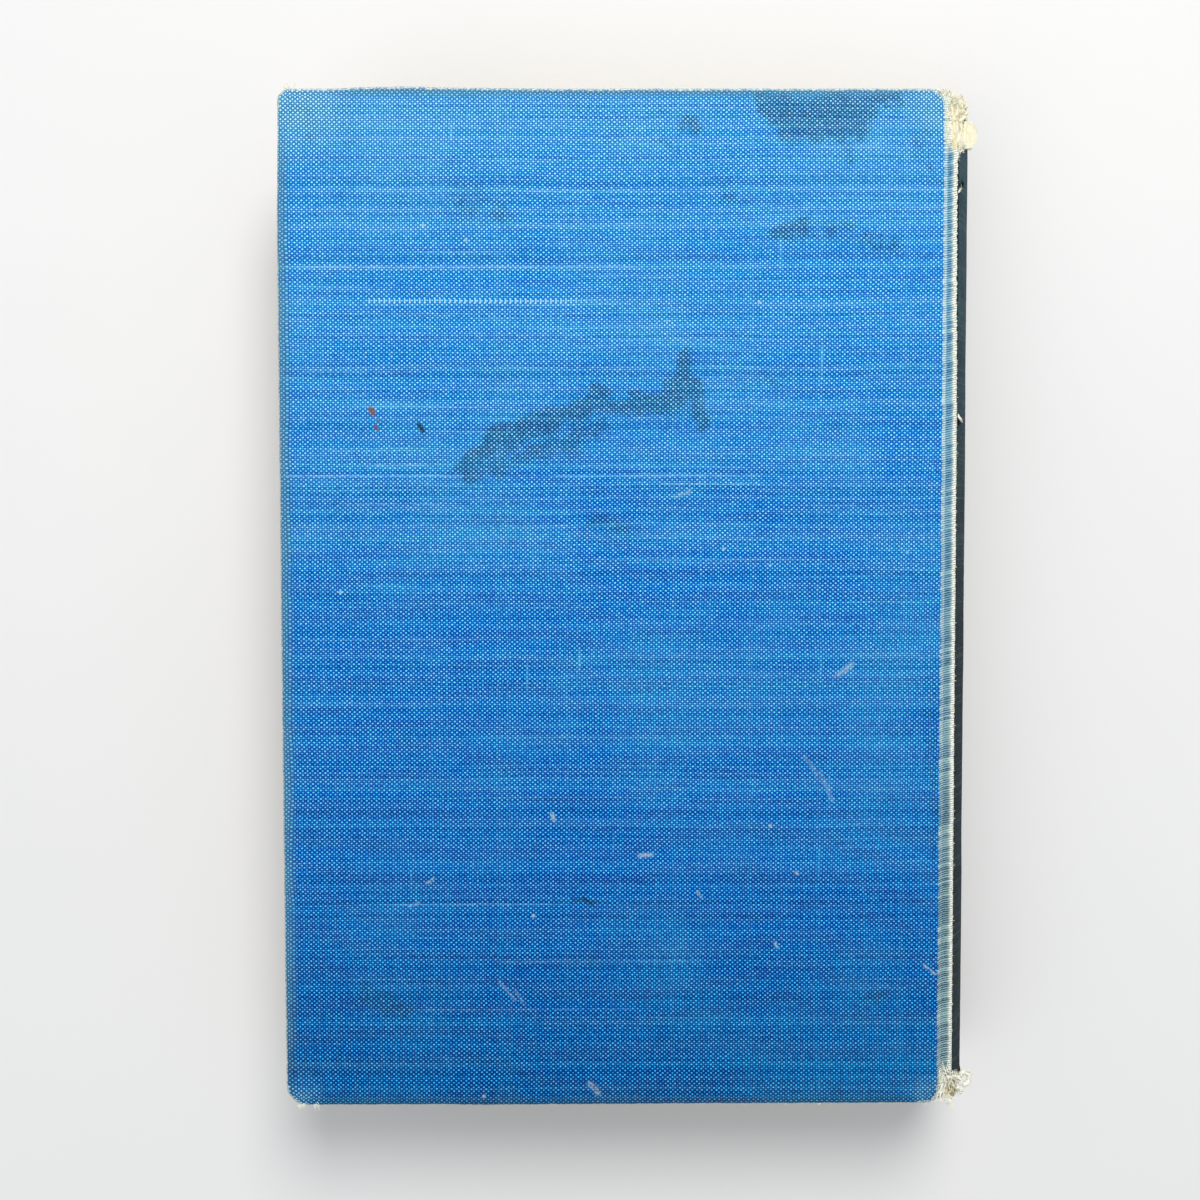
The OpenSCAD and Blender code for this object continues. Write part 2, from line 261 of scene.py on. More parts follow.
class Value:
    """What a node of a material puts out. Arithmetic on it adds nodes; fit(a, b) is itself times a plus b."""

    def __init__(self, nodes, socket):
        self.nodes, self.socket = nodes, socket

    def run(self, operation, *others):
        return self.nodes.math(operation, self, *others)

    def __radd__(self, other):
        return self.nodes.math("ADD", other, self)

    def __rsub__(self, other):
        return self.nodes.math("SUBTRACT", other, self)

    def step(self, lo, hi):
        """0 at lo, 1 at hi, smooth between them; lo may be the larger."""
        ends = {"From Min": min(lo, hi), "From Max": max(lo, hi), "To Min": float(lo > hi), "To Max": float(lo <= hi)}
        return self.nodes.node("MapRange", "Result", {"Value": self, **ends}, interpolation_type="SMOOTHSTEP")

    __add__, __sub__ = partialmethod(run, "ADD"), partialmethod(run, "SUBTRACT")
    __mul__, __abs__ = partialmethod(run, "MULTIPLY"), partialmethod(run, "ABSOLUTE")
    floor, fract = partialmethod(run, "FLOOR"), partialmethod(run, "FRACT")
    most, least = partialmethod(run, "MAXIMUM"), partialmethod(run, "MINIMUM")
    sine, root, fit = partialmethod(run, "SINE"), partialmethod(run, "SQRT"), partialmethod(run, "MULTIPLY_ADD")


class Nodes:
    """A new material and the nodes that lead to its shader."""

    def __init__(self, name, roughness, specular, sheen=0.0):
        self.mat = bpy.data.materials.new(name)
        self.mat.use_nodes = True
        self.nt = self.mat.node_tree
        self.nt.nodes.clear()
        self.out = self.nt.nodes.new("ShaderNodeOutputMaterial")
        self.bsdf = self.nt.nodes.new("ShaderNodeBsdfPrincipled")
        for key, value in (("Roughness", roughness), ("Specular IOR Level", specular), ("Sheen Weight", sheen),
                           ("Sheen Roughness", 0.5)):
            self.bsdf.inputs[key].default_value = value
        self.nt.links.new(self.bsdf.outputs[0], self.out.inputs[0])
        self.colour = None

    def put(self, socket, value):
        """Links or sets a socket; three plain numbers are a colour of the screen."""
        value = getattr(value, "socket", value)
        if isinstance(value, bpy.types.NodeSocket):
            self.nt.links.new(value, socket)
        else:
            socket.default_value = srgb(*value) if isinstance(value, tuple) and len(value) == 3 else value

    def node(self, kind, output, inputs, **settings):
        n = self.nt.nodes.new("ShaderNode" + kind)
        for key, value in settings.items():
            setattr(n, key, value)
        for key, value in inputs.items():
            self.put(n.inputs[key], value)
        return Value(self, n.outputs[output])

    def math(self, operation, a, b=0.0, c=0.0, clamp=False):
        return self.node("Math", 0, {0: a, 1: b, 2: c}, operation=operation, use_clamp=clamp)

    def vec(self, *xyz):
        return self.node("CombineXYZ", 0, dict(enumerate(xyz)))

    def split(self, vector):
        n = self.nt.nodes.new("ShaderNodeSeparateXYZ")
        self.put(n.inputs[0], vector)
        return [Value(self, socket) for socket in n.outputs]

    def attribute(self, name):
        return self.split(self.node("Attribute", "Vector", {}, attribute_type="GEOMETRY", attribute_name=name))

    def place(self):
        """The CAD node's own coordinates in mm."""
        own = self.node("TexCoord", "Object", {})
        return self.split(self.node("VectorMath", 0, {0: own, "Scale": 1 / MM}, operation="SCALE"))

    def texture(self, kind, output, place, inputs, **settings):
        """A texture at a place, which is a vector or its two or three parts."""
        place = place if isinstance(place, Value) else self.vec(*place)
        return self.node("Tex" + kind, output, {"Vector": place, **inputs}, **settings)

    def noise(self, place, scale=1.0, detail=2.0, rough=0.5):
        return self.texture("Noise", 0, place, {"Scale": scale, "Detail": detail, "Roughness": rough})

    def white(self, place):
        return self.texture("WhiteNoise", "Value", place, {}, noise_dimensions="3D")

    def voronoi(self, place, scale):
        """Scattered points: how far the nearest one is, and its own random colour as three numbers."""
        colour = self.texture("Voronoi", "Color", place, {"Scale": scale})
        return Value(self, colour.socket.node.outputs["Distance"]), self.split(colour)

    def mix(self, share, a, b):
        return self.node("Mix", 2, {"Factor": share, 6: a, 7: b}, data_type="RGBA", clamp_factor=True)

    def tint(self, share, colour):
        """Moves the surface's colour a share of the way to another."""
        self.colour = self.mix(share, self.colour, colour)

    def ramp(self, value, stops):
        n = self.nt.nodes.new("ShaderNodeValToRGB")
        self.put(n.inputs[0], value)
        elements = n.color_ramp.elements
        while len(elements) < len(stops):
            elements.new(0.5)
        for element, (position, colour) in zip(elements, stops):
            element.position, element.color = position, srgb(*colour)
        return Value(self, n.outputs[0])

    def bump(self, height, distance, strength):
        bumped = self.node("Bump", 0, {"Strength": strength, "Distance": distance * MM, "Height": height})
        self.put(self.bsdf.inputs["Normal"], bumped)

    def done(self):
        self.put(self.bsdf.inputs["Base Color"], self.colour)
        return self.mat


# ---------------------------------------------------------------- book cloth, looked at thread by thread
WARP, WEFT = 0.475, 0.41  # pitch of the threads along and across the cover, mm


def weave(n, s, t, slant=0.0):
    """Plain weave at the cloth's own pitch: knuckles and gaps, and random tones for each thread and each crossing."""
    w = SimpleNamespace()
    wob = n.noise((s, t), 0.05, 2.0) - 0.5
    wob2 = n.noise((t, s, 7.0), 0.022, 2.0) - 0.5
    fine = n.noise((s * 0.6, t * 2.0, 3.0), 1.0, 1.0) - 0.5
    s1 = s + wob * 1.4 + fine * 0.22
    if slant:
        s1 = s1 + t * slant
    t1 = t + wob2 * 1.8 + fine * 0.13
    warp_wave, weft_wave = (s1 * (math.pi / WARP)).sine(), (t1 * (math.pi / WEFT)).sine()
    crossing = warp_wave * weft_wave
    w.pale, w.dark = crossing.step(0.10, 0.72), crossing.step(0.0, -0.75)
    w.row, w.col = (t1 * (1.0 / WEFT)).floor(), (s1 * (1.0 / WARP)).floor()
    w.tone, w.tone2 = n.white((w.row, 3.0, 1.0)), n.white((w.col, 9.0, 4.0))
    w.slub = n.noise((s * 0.034, w.row * 5.37, 0.0), 1.0, 4.0, 0.62)
    w.warp_slub = n.noise((w.col * 4.11, t * 0.05, 5.0), 1.0, 2.0, 0.6)
    w.height = abs(crossing)
    w.cell = n.white((w.row, w.col, 11.0))
    w.between = abs(weft_wave).step(0.50, 0.10)
    return w


def near_segment(n, s, t, a, b, r, soft=0.35):
    """1 on the short stroke from a to b in mm, 0 beyond r."""
    dx, dy = b[0] - a[0], b[1] - a[1]
    square = dx * dx + dy * dy + 1e-6
    ps, pt = s - a[0], t - a[1]
    k = n.math("ADD", ps * (dx / square), pt * (dy / square), clamp=True)
    ex, ey = ps - k * dx, pt - k * dy
    return (ex * ex + ey * ey).root().step(r, r * soft)


# what lies at one place on the back cover, at pixels of the photograph
SPECKS = [  # from, to, radius in mm, colour, strength
    ((371, 409), (373, 413), 0.75, (122, 74, 52), 0.85), ((376, 427), (377, 429), 0.55, (112, 70, 58), 0.8),
    ((378, 420), (378, 421), 0.35, (104, 84, 80), 0.7), ((419, 425), (423, 431), 0.60, (30, 36, 48), 0.85),
    ((572, 899), (596, 902), 0.50, (24, 44, 70), 0.5), ((584, 898), (592, 905), 0.42, (22, 38, 60), 0.6)]
SCUFFS = [  # from, to, radius in mm, strength
    ((837, 676), (852, 664), 0.75, 0.55), ((640, 856), (651, 855), 0.60, 0.75), ((676, 496), (690, 491), 0.55, 0.5),
    ((806, 758), (818, 775), 0.6, 0.25), ((820, 772), (832, 800), 0.6, 0.28), ((552, 814), (554, 820), 0.45, 0.9),
    ((796, 872), (798, 875), 0.4, 0.9), ((698, 892), (700, 896), 0.4, 0.8), ((775, 943), (777, 947), 0.4, 0.8),
    ((925, 966), (935, 974), 0.35, 0.8), ((426, 884), (433, 879), 0.35, 0.6), ((410, 907), (419, 903), 0.35, 0.6),
    ((590, 1084), (598, 1092), 0.75, 0.6), ((500, 982), (515, 1000), 0.4, 0.3), ((515, 990), (524, 1004), 0.4, 0.3)]
PULLED = [  # threads that stand out pale: height, from, to, strength
    (191, 520, 640, 0.5), (252, 405, 505, 0.6), (267, 278, 640, 0.7), (407, 355, 485, 0.45), (451, 330, 420, 0.35),
    (465, 368, 444, 0.5), (476, 278, 470, 0.8), (476, 550, 765, 0.55), (484, 660, 760, 0.7), (504, 345, 442, 0.5),
    (340, 600, 780, 0.35), (372, 300, 420, 0.35), (318, 470, 560, 0.35), (560, 600, 800, 0.3), (640, 300, 480, 0.3),
    (905, 385, 560, 0.4), (962, 500, 700, 0.25), (1010, 420, 640, 0.25)]
TICKS_V, TICKS_U, TICK_PITCH = 301, (366, 550, 618), 0.945  # a row of ticks: it fades from the second u to the third


def marks(n, s, t):
    """The specks, the scuffs, the pulled threads and the row of ticks."""
    wob = n.noise((s, t, 6.0), 1.1, 3.0, 0.7) - 0.5
    s2, t2 = s + wob, t - wob
    lint = n.noise((s, t, 8.0), 1.6, 4.0, 0.75).step(0.36, 0.60)
    for a, b, r, tint, k in SPECKS:
        n.tint(near_segment(n, s2, t2, px(*a), px(*b), r) * k, tint)
    scuff = 0.0
    for a, b, r, k in SCUFFS:
        scuff = n.math("MAXIMUM", scuff, near_segment(n, s2, t2, px(*a), px(*b), r * 1.25, 0.05) * (k * 0.9))
    n.tint(lint * scuff, (178, 196, 198))
    pulled = 0.0
    for v, u0, u1, k in PULLED:
        (x0, y0), (x1, _) = px(u0, v), px(u1, v)
        band = abs(t - y0).step(0.24, 0.08)
        run = s.step(x0 - 2, x0 + 3) * s.step(x1 + 3, x1 - 4)
        pulled = n.math("MAXIMUM", pulled, band * run * (k * 0.68))
    gone = n.noise((s * 0.5, t * 2.0), 1.0, 4.0, 0.8).step(0.36, 0.62)
    n.tint(pulled * gone, (150, 206, 236))
    (x0, y0), (x1, _), (x2, _) = (px(u, TICKS_V) for u in TICKS_U)
    comb = (s * (1 / TICK_PITCH)).fract().step(0.42, 0.24)
    band = abs(t - y0).step(0.50, 0.30)
    run = s.step(x0 - 0.5, x0 + 0.5) * s.step(x2, x1)
    n.tint(comb * band * (run * 0.62), (190, 226, 240))


# across the joint, in mm: where the cover's own colour ends, the light lip of the board's edge, where the threads of
# the groove rise, the cream ridge, and the dark cloth of the spine beyond it
EDGE_X, LIP_X, RISE_X = (58.45, 58.85), (59.62, 59.20), (60.32, 60.85)
RIDGE_X, DARK_X = (60.70, 61.00), (61.54, 61.64)
BARE_HEAD, BARE_TAIL = (83.5, 87.5), (-88.5, -91.5)  # along it, where the torn paper shows


def joint_colours(n, s, x, y, z):
    """The joint: a worn line on the board's edge, grey-blue threads across the groove, a worn cream ridge."""
    shift = y.step(30.0, 70.0) * 0.32 - y.step(-30.0, -80.0) * 0.12
    jag = (n.noise((x, y * 2.4, 0.0), 1.0, 5.0, 0.75) - 0.5) * 0.42
    fuzz = n.noise((x * 2.2, y * 3.4, 3.0), 1.0, 4.0, 0.75)
    line = (y + x * -0.22 + fuzz * 0.16) * (1 / 0.43)
    tick = (line * (2 * math.pi)).sine()
    each = n.white(((line + 0.25).floor(), 5.0, 5.0))
    top_half = y.step(-70.0, 60.0)
    xx = x + jag + each.fit(0.24, -0.12)
    band = xx.step(*EDGE_X)
    lip = xx.step(*LIP_X)
    up = (xx + shift).step(*RISE_X)
    thread = (tick * 0.30 + (fuzz + each.fit(0.44, -0.22))).step(0.30, 0.70)
    fibre = n.mix(thread, n.mix(top_half, (38, 68, 88), (28, 80, 126)),
                  n.mix(top_half, (152, 182, 178), (134, 184, 196)))
    fibre = n.mix(lip * top_half.fit(0.44, 0.40), fibre,
                  n.mix(thread, n.mix(top_half, (84, 128, 150), (132, 184, 206)), (242, 252, 246)))
    fibre = n.mix(up * 0.5, fibre, (196, 206, 194))
    n.tint(band * 0.94, fibre)
    bare = (y.step(*BARE_HEAD).most(y.step(*BARE_TAIL))
            * xx.step(58.6, 59.1).most(s.step(58.80, 58.90) * abs(y).step(91.4, 92.2)))
    torn = n.mix((thread * 0.16 + fuzz).step(0.40, 0.70),
                 n.mix(top_half, (96, 110, 106), (158, 174, 158)), (244, 246, 230))
    n.tint(bare, torn)
    ridge = (xx + shift).step(*RIDGE_X)
    grain = n.noise((x, y * 1.8, z), 1.9, 5.0, 0.75) + tick * 0.10
    cream = n.mix(grain.step(0.36, 0.58), (146, 158, 150), (252, 251, 236))
    n.tint(ridge * 0.95, cream)
    jag2 = (n.noise((0.0, y * 2.2, 5.0), 1.0, 5.0, 0.85) - 0.5) * 0.75 + each.fit(0.20, -0.10)
    # the spine's dark cloth past the ridge: partly its own darkened colour, partly painted shade where it turns away
    # from the light
    dark = (x + shift + jag2).step(*DARK_X)
    n.tint(dark * y.step(84.4, 82.6), (26, 40, 46))


def worn_edge_colours(n, s, t, z, edge, width, corner):
    """The board's worn edge: pale bare thread on the roundover, most at the head. Near the edge the cloth is darker,
    partly dirt and partly painted shade, darkest at the tail; the lower bend and the wall get painted shade.
    """
    rag = n.noise((s, t, z), 1.3, 4.0, 0.75)
    bead = n.noise((s, t, z), 2.9, 3.0, 0.8)
    low = t.step(-60.0, -96.0)
    # darker near the edge: partly dirt, partly painted shade, darkest at the tail, which faces away from the light
    edge_dirt_and_shade = abs(edge).step(2.6, 0.5) * width.step(0.0, 0.12) * (1.0 - corner)
    n.tint(edge_dirt_and_shade * 0.48, n.mix(low, (64, 108, 134), (16, 40, 64)))
    # painted shade on the lower bend and the wall of the board's edge
    under = edge.step(0.35, 0.9)
    n.tint(under * width.step(0.0, 0.12) * 0.55, (60, 82, 98))
    reach = width * (0.30 + rag * 1.4) - abs(edge - 0.12)
    worn = reach.step(-0.06, 0.14) * (bead + width * 0.75).step(0.52, 0.66)
    cream = n.mix(n.noise((s, t, z), 2.6, 3.0, 0.7).step(0.40, 0.62), (112, 150, 166), (228, 230, 216))
    n.tint(worn * 0.90, cream)


def cover_material(back):
    """Faded blue cloth. Cycles can hold only a little more than these values at once: with more it renders black."""
    n = Nodes("book_cloth_back" if back else "book_cloth_front", 0.9, 0.08)
    s, t, stain = n.attribute("cloth")
    x, y, z = n.attribute("rest")
    edge, width, corner = n.attribute("wear")
    w = weave(n, s, t)

    def head_light_ramp(*stops):
        """A colour that changes from the tail to the head: painted light, brighter towards the head."""
        return n.ramp(t.fit(1 / 200.0, 0.5), stops)

    # the cloth is lighter and paler towards the head and darker towards the tail: painted light and sheen from the
    # light at the head
    base = head_light_ramp((0.0, (0, 68, 154)), (0.25, (0, 92, 206)), (0.55, (0, 118, 230)),
                 (0.8, (2, 148, 248)), (1.0, (34, 156, 238)))
    light = head_light_ramp((0.0, (50, 182, 240)), (0.5, (106, 226, 252)), (1.0, (158, 244, 255)))
    deep = head_light_ramp((0.0, (0, 24, 84)), (0.5, (0, 40, 126)), (1.0, (2, 72, 156)))
    cloud = n.noise((s, t, 2.0), 0.028, 4.0, 0.6)
    base = n.mix(cloud.step(0.40, 0.72) * 0.22, base, light)
    shade = n.noise((s, t * 1.6, 9.0), 0.14, 5.0, 0.65)
    base = n.mix(shade.step(0.45, 0.75) * 0.30, base, deep)
    # soiling from the attribute darkens the threads and the gaps more than the knuckles
    grit = n.noise((s, t, 1.0), 0.9, 5.0, 0.7)
    patch = n.noise((s, t, 4.0), 0.34, 4.0, 0.65)
    grain = grit * 0.45 + patch * 0.55 - 0.5
    dirt = (stain + grain * 2.4).step(0.05, 1.20) * stain.step(0.0, 0.20)
    tide = dirt.step(0.15, 0.45) * dirt.step(0.95, 0.55)
    base = n.mix(dirt * 0.84, base, (30, 80, 142))
    base = n.mix(tide * 0.36, base, (10, 44, 84))
    deep = n.mix(dirt * 0.75, deep, (14, 40, 66))
    light = n.mix(dirt * 0.44, light, (92, 168, 206))
    # threads: each has its own tone and the weft's knuckles are pale; the gaps between threads are darkened as
    # painted shade
    n.colour = n.mix(w.tone.step(0.5, 1.0) * 0.16, base, light)
    n.tint(w.tone.step(0.35, 0.0) * 0.40, deep)
    n.tint(w.tone2.step(0.6, 1.0) * 0.08, light)
    spot = n.noise((s, t, 12.0), 1.5, 3.0, 0.7)
    rim = abs(edge).step(2.3, 0.1) * width.step(0.0, 0.12)
    blotch = n.noise((s, t, 20.0), 0.33, 4.0, 0.7).step(0.30, 0.62)
    near = (rim * t.step(-96.0, -82.0).fit(0.46, 0.26)).most(corner) * blotch.fit(0.60, 0.40)
    n.tint(near * 0.80, (98, 170, 200))
    deep = n.mix(near * 0.70, deep, (40, 104, 146))
    knuckle = (w.cell + w.tone * 0.35).fit(0.62, 0.40) * spot.fit(1.3, 0.40)
    # knuckles near white, more of them towards the head: partly pale thread, partly painted sheen from the light at
    # the head
    white = (w.cell + w.tone * 0.5).step(0.80, 1.45) * t.step(-70.0, 50.0).fit(0.34, 0.12)
    light = n.mix(white, light, (184, 246, 255))
    n.tint(w.pale * (knuckle + near * 0.80), n.mix(near, light, (190, 242, 246)))
    # painted shade in the low gaps between threads
    n.tint(w.height.step(0.62, 0.02) * 0.86, deep)
    n.tint(w.dark * w.cell.fit(0.30, 0.26), deep)
    # painted shade between the rows of weft, where no slub runs
    n.tint(w.between * w.slub.step(0.50, 0.38).fit(0.46, 0.34), deep)
    # slubs: long thick threads, most of them across the cover
    long_slub = w.slub.step(0.50, 0.66) * n.white((w.row, 7.0, 7.0)).step(0.30, 0.85)
    # slubs show twice as strong at the head as at the tail: painted light from the head side
    slub_headward = t.step(-70.0, 50.0).fit(0.5, 0.5)
    n.tint(long_slub * slub_headward * w.pale.fit(0.46, 0.10), light)
    up_slub = w.warp_slub.step(0.66, 0.76) * n.white((w.col, 7.0, 2.0)).step(0.75, 0.9)
    n.tint(up_slub * 0.22, light)
    # small pale specks of lint and wear over the whole cover
    distance, (pick, _, _) = n.voronoi((s, t, 0.0), 0.11)
    n.tint(distance.step(0.055, 0.02) * pick.step(0.55, 0.6) * 0.55, (190, 205, 205))
    if back:
        marks(n, s, t)
    worn_edge_colours(n, s, t, z, edge, width, corner)
    joint_colours(n, s, x, y, z)
    n.bump(w.height + long_slub * 0.5, 0.05, 0.7)
    n.put(n.bsdf.inputs["Roughness"], dirt.fit(-0.12, 0.90))
    return n.done()


NICKS = [(78.3, 0.28, 0.3, 3.4), (33.9, 0.34, 0.0, 3.0)]  # in the spine's cloth: height, half width, from, to, in mm


def spine_material():
    n = Nodes("book_cloth_spine", 0.9, 0.15)
    s, t, _ = n.attribute("cloth")
    z = n.attribute("rest")[2]
    edge, width, _ = n.attribute("wear")
    w = weave(n, s, t, 0.30)
    # the spine's dark colour: partly the cloth's own darkened colour, partly painted shade where the spine turns away
    # from the light; lighter towards the head as painted light from the head side
    head = t.step(-20.0, 76.0)
    base = n.mix(n.noise((s, t, 1.0), 0.14, 4.0, 0.6).step(0.35, 0.7), n.mix(head, (16, 28, 34), (42, 68, 78)),
                 n.mix(head, (26, 40, 45), (56, 84, 92)))
    n.colour = n.mix(w.pale * w.cell.fit(0.3, 0.15), base, (96, 120, 126))
    # painted shade in the low gaps between threads
    n.tint(w.height.step(0.45, 0.0) * 0.6, (12, 20, 26))
    n.tint(w.tone.step(0.6, 1.0) * 0.2, (90, 108, 112))
    n.tint(w.tone2.step(0.4, 0.0) * 0.35, (26, 40, 48))
    rub = n.noise((s * 2.0, t, 3.0), 0.5, 5.0, 0.7)
    n.tint(rub.step(0.60, 0.74) * 0.25, (110, 122, 118))
    rag = n.noise((s, t, z), 1.5, 4.0, 0.75)
    worn = (width * (0.2 + rag * 1.6) - edge).step(-0.05, 0.15)
    n.tint(worn * 0.85, (214, 208, 182))
    for y0, *_ in NICKS:
        shadow = near_segment(n, s, t, (62.1, y0), (64.9, y0 + 0.9), 0.75, 0.3)
        n.tint(shadow * 0.85, (10, 14, 16))
    n.bump(w.height, 0.05, 0.8)
    return n.done()


# ---------------------------------------------------------------- paper, gauze and thread
def paper(name, light, dark, grain, scale, depth, lines=None, foxing=0.0, toned=False):
    """Aged paper: fibre and yellow clouds, with foxing spots, toned edges or the lines of the leaves where asked."""
    n = Nodes(name, 0.9, 0.2)
    x, y, z = n.place()
    v = n.vec(x, y, z)
    cloud = n.noise(v, 0.035, 4.0, 0.6)
    fibre = n.noise(v, scale, 5.0, 0.75)
    n.colour = n.mix(cloud.step(0.3, 0.7), light, dark)
    n.tint(fibre.step(0.45, 0.75) * grain, tuple(c * 0.72 for c in dark))
    height = fibre
    if foxing:
        distance, (_, pick, _) = n.voronoi((x, y, z * 0.3), 0.07)
        n.tint(distance.step(0.10, 0.02) * pick.step(0.6, 0.65) * foxing, (150, 104, 60))
    if toned:
        inset = (PAGE_Y1 - abs(y)).least(x - PAGE_X0)
        ragged = inset + n.noise(v, 0.12, 3.0, 0.6) * 9.0
        n.tint(ragged.step(16.0, 2.0) * 0.42, (188, 158, 108))
    if lines:
        wave = n.noise((x * 0.02, y * 0.02, 0.0), 1.0, 2.0)
        zz = z + (wave - 0.5) * 0.6
        leaf = n.noise((x * 0.012, y * 0.012, zz * lines), 1.0, 3.0, 0.7)
        section = abs((zz * (1 / 1.42)).fract() - 0.5).step(0.06, 0.0)
        n.tint(leaf.step(0.56, 0.40) * 0.55, (124, 98, 62))
        n.tint(section * 0.35, (110, 84, 52))
        height = leaf + fibre * 0.2 - section * 0.5
    n.bump(height, depth, 0.8)
    return n.done()


def gauze_material():
    n = Nodes("gauze_mull", 0.92, 0.15)
    x, y, z = n.place()
    wob = (n.noise((x, y, z), 0.3, 2.0) - 0.5) * 0.5
    across = abs(((x + z * 0.8 + wob) * (math.pi / 0.9)).sine())
    along_y = abs(((y + wob) * (math.pi / 0.9)).sine())
    thread = across.step(0.55, 0.85).most(along_y.step(0.55, 0.85))
    n.colour = n.mix(thread, (170, 148, 106), (226, 216, 188))
    n.tint(n.noise((x, y, z), 0.4, 4.0, 0.7) * 0.4, (190, 170, 130))
    n.bump(thread, 0.12, 0.9)
    return n.done()


def thread_material():
    n = Nodes("frayed_thread", 0.9, 0.15, 0.1)
    place = n.attribute("rest")
    tone = n.noise(place, 1.7, 3.0, 0.7)
    n.colour = n.mix(tone.step(0.35, 0.65), (226, 225, 208), (253, 252, 240))
    n.bump(n.noise(place, 9.0, 2.0), 0.03, 0.6)
    return n.done()


def torn_paper_material():
    n = Nodes("torn_spine_paper", 0.92, 0.15)
    x, y, z = n.attribute("rest")
    relief = n.attribute("wear")[0]
    v = n.vec(x, y, z)
    tone = n.noise(v, 0.9, 5.0, 0.7)
    tail = y.step(-70.0, -80.0)
    n.colour = n.mix(tone.step(0.3, 0.65), n.mix(tail, (232, 222, 182), (168, 150, 108)),
                     n.mix(tail, (254, 252, 228), (214, 204, 168)))
    n.tint(x.step(61.2, 60.4) * 0.25, (220, 200, 152))
    # painted shade in the hollows of the crumpled paper, deeper at the tail
    hollow_shade = (relief + (n.noise(v, 1.8, 4.0, 0.7) - 0.5) * 0.16).step(0.10, -0.12)
    n.tint(hollow_shade * 0.46, n.mix(tail, (176, 162, 118), (104, 90, 62)))
    # thin dark creases: painted shade of the paper's folds
    crease_shade = n.noise(v, 2.4, 4.0, 0.8)
    n.tint(crease_shade.step(0.60, 0.72) * 0.6, (128, 116, 86))
    n.bump(n.noise(v, 2.0, 5.0, 0.75), 0.12, 0.8)
    return n.done()


M_BACK, M_FRONT, M_SPINE = cover_material(True), cover_material(False), spine_material()
M_THREAD, M_TORN = thread_material(), torn_paper_material()

# ---------------------------------------------------------------- the cover cloth, with its turn-ins and its joint
INSET = 4.4  # ring where the rows of the edge meet the grid of the face
ROUND, THICK, TURN = 0.8, 0.35, 15.0  # the cloth's bend over the board's edge, its thickness and its turn-ins
FRONT_CORNERS = {"hf": 2.4, "tf": 2.4, "hj": 2.4, "tj": 2.4}  # radii at head and tail, at the fore-edge and the joint
BACK_CORNERS = {"hf": 2.4, "tf": 3.6, "hj": 3.2, "tj": 2.6}
BARE_WIDTH = {"h": 0.52, "t": 0.20, "f": 0.24, "j": 0.0, "c": 0.50}  # of the bare worn thread on each side
JOINT_CORNER_BARE = 0.62
FRONT_BARE = 0.7  # the front cover's share of the back one's

# the back cover's edges in the photograph, as its pixels: the board is a little bowed and wavy
EDGE_Z = 27.3
HEAD_EDGE = [(300, 90.2), (320, 89.3), (360, 87.3), (400, 86.4), (450, 87.6), (550, 88.6), (700, 89.6), (820, 90.2),
             (900, 90.8), (925, 92.5)]
TAIL_EDGE = [(315, 1100), (360, 1102), (480, 1104.8), (600, 1104), (720, 1103), (800, 1102), (880, 1101), (910, 1099),
             (925, 1097)]
FORE_EDGE = [(277.5, 130), (277, 200), (278, 410), (279, 470), (281, 590), (283, 770), (284.3, 890), (286.8, 1070)]

# the cloth's outer face from the board's edge through the groove to the ridge and a little beyond, x and z in mm
JOINT_PATH = spline([
    (58.866, 27.766), (59.06, 27.52), (59.34, 27.30), (59.70, 27.16), (60.10, 27.13), (60.50, 27.20), (60.85, 27.33),
    (61.14, 27.42), (61.36, 27.38), (61.53, 27.22), (61.66, 27.02)], 30)
JOINT_SHEET = 0.28  # the cloth's thickness there
PATH_S = 58.9  # where the joint's path starts on the flat cloth
LOW_ROUND = 0.5  # the cloth's bend over the board's inner edge
WORN_AT = 0.63  # how far round the upper bend the edge wears most
TORN_X = 60.2  # past this the cloth of the joint is torn off at the tail and the head
JOINT_ENDS, TORN_ENDS = (-95.6, 96.1), ((-92.0, 88.0), (-91.0, 84.4))  # the front cover's and the back one's


def along(lo, hi, fine, step):
    """Positions from lo to hi, closer together near the ends."""
    ends = np.cumsum(np.r_[0, np.linspace(fine, step, 8)])
    mid = np.linspace(lo + ends[-1], hi - ends[-1], max(2, int((hi - lo - 2 * ends[-1]) / step)))
    return np.r_[lo + ends[:-1], mid, (hi - ends[:-1])[::-1]]


def corner_points(cx, cy, sx, sy, r):
    """Points round a corner, each with its outward direction, from the head or tail to the fore-edge or joint."""
    straight = np.linspace(INSET, r, 4)[1:]
    turned = [(sx * math.sin(a), sy * math.cos(a)) for a in np.linspace(0, math.pi / 2, 9)[1:-1]]
    return ([((cx - sx * q, cy), (0, sy)) for q in straight]
            + [((cx - sx * r + r * tx, cy - sy * r + r * ty), (tx, ty)) for tx, ty in turned]
            + [((cx, cy - sy * q), (sx, 0)) for q in straight[::-1]])


def outline(xs, ys, radii):
    """Points round the cover from the tail's fore-edge end: place, outward direction, and side or c for corner."""
    def corner(cx, cy, sx, sy, key, order=1):
        return [(p, q, "c") for p, q in corner_points(cx, cy, sx, sy, radii[key])[::order]]

    return ([((x, Y0), (0, -1), "t") for x in xs] + corner(X1, Y0, 1, -1, "tj")
            + [((X1, y), (1, 0), "j") for y in ys] + corner(X1, Y1, 1, 1, "hj", -1)
            + [((x, Y1), (0, 1), "h") for x in xs[::-1]] + corner(X0, Y1, -1, 1, "hf")
            + [((X0, y), (-1, 0), "f") for y in ys[::-1]] + corner(X0, Y0, -1, -1, "tf", -1))


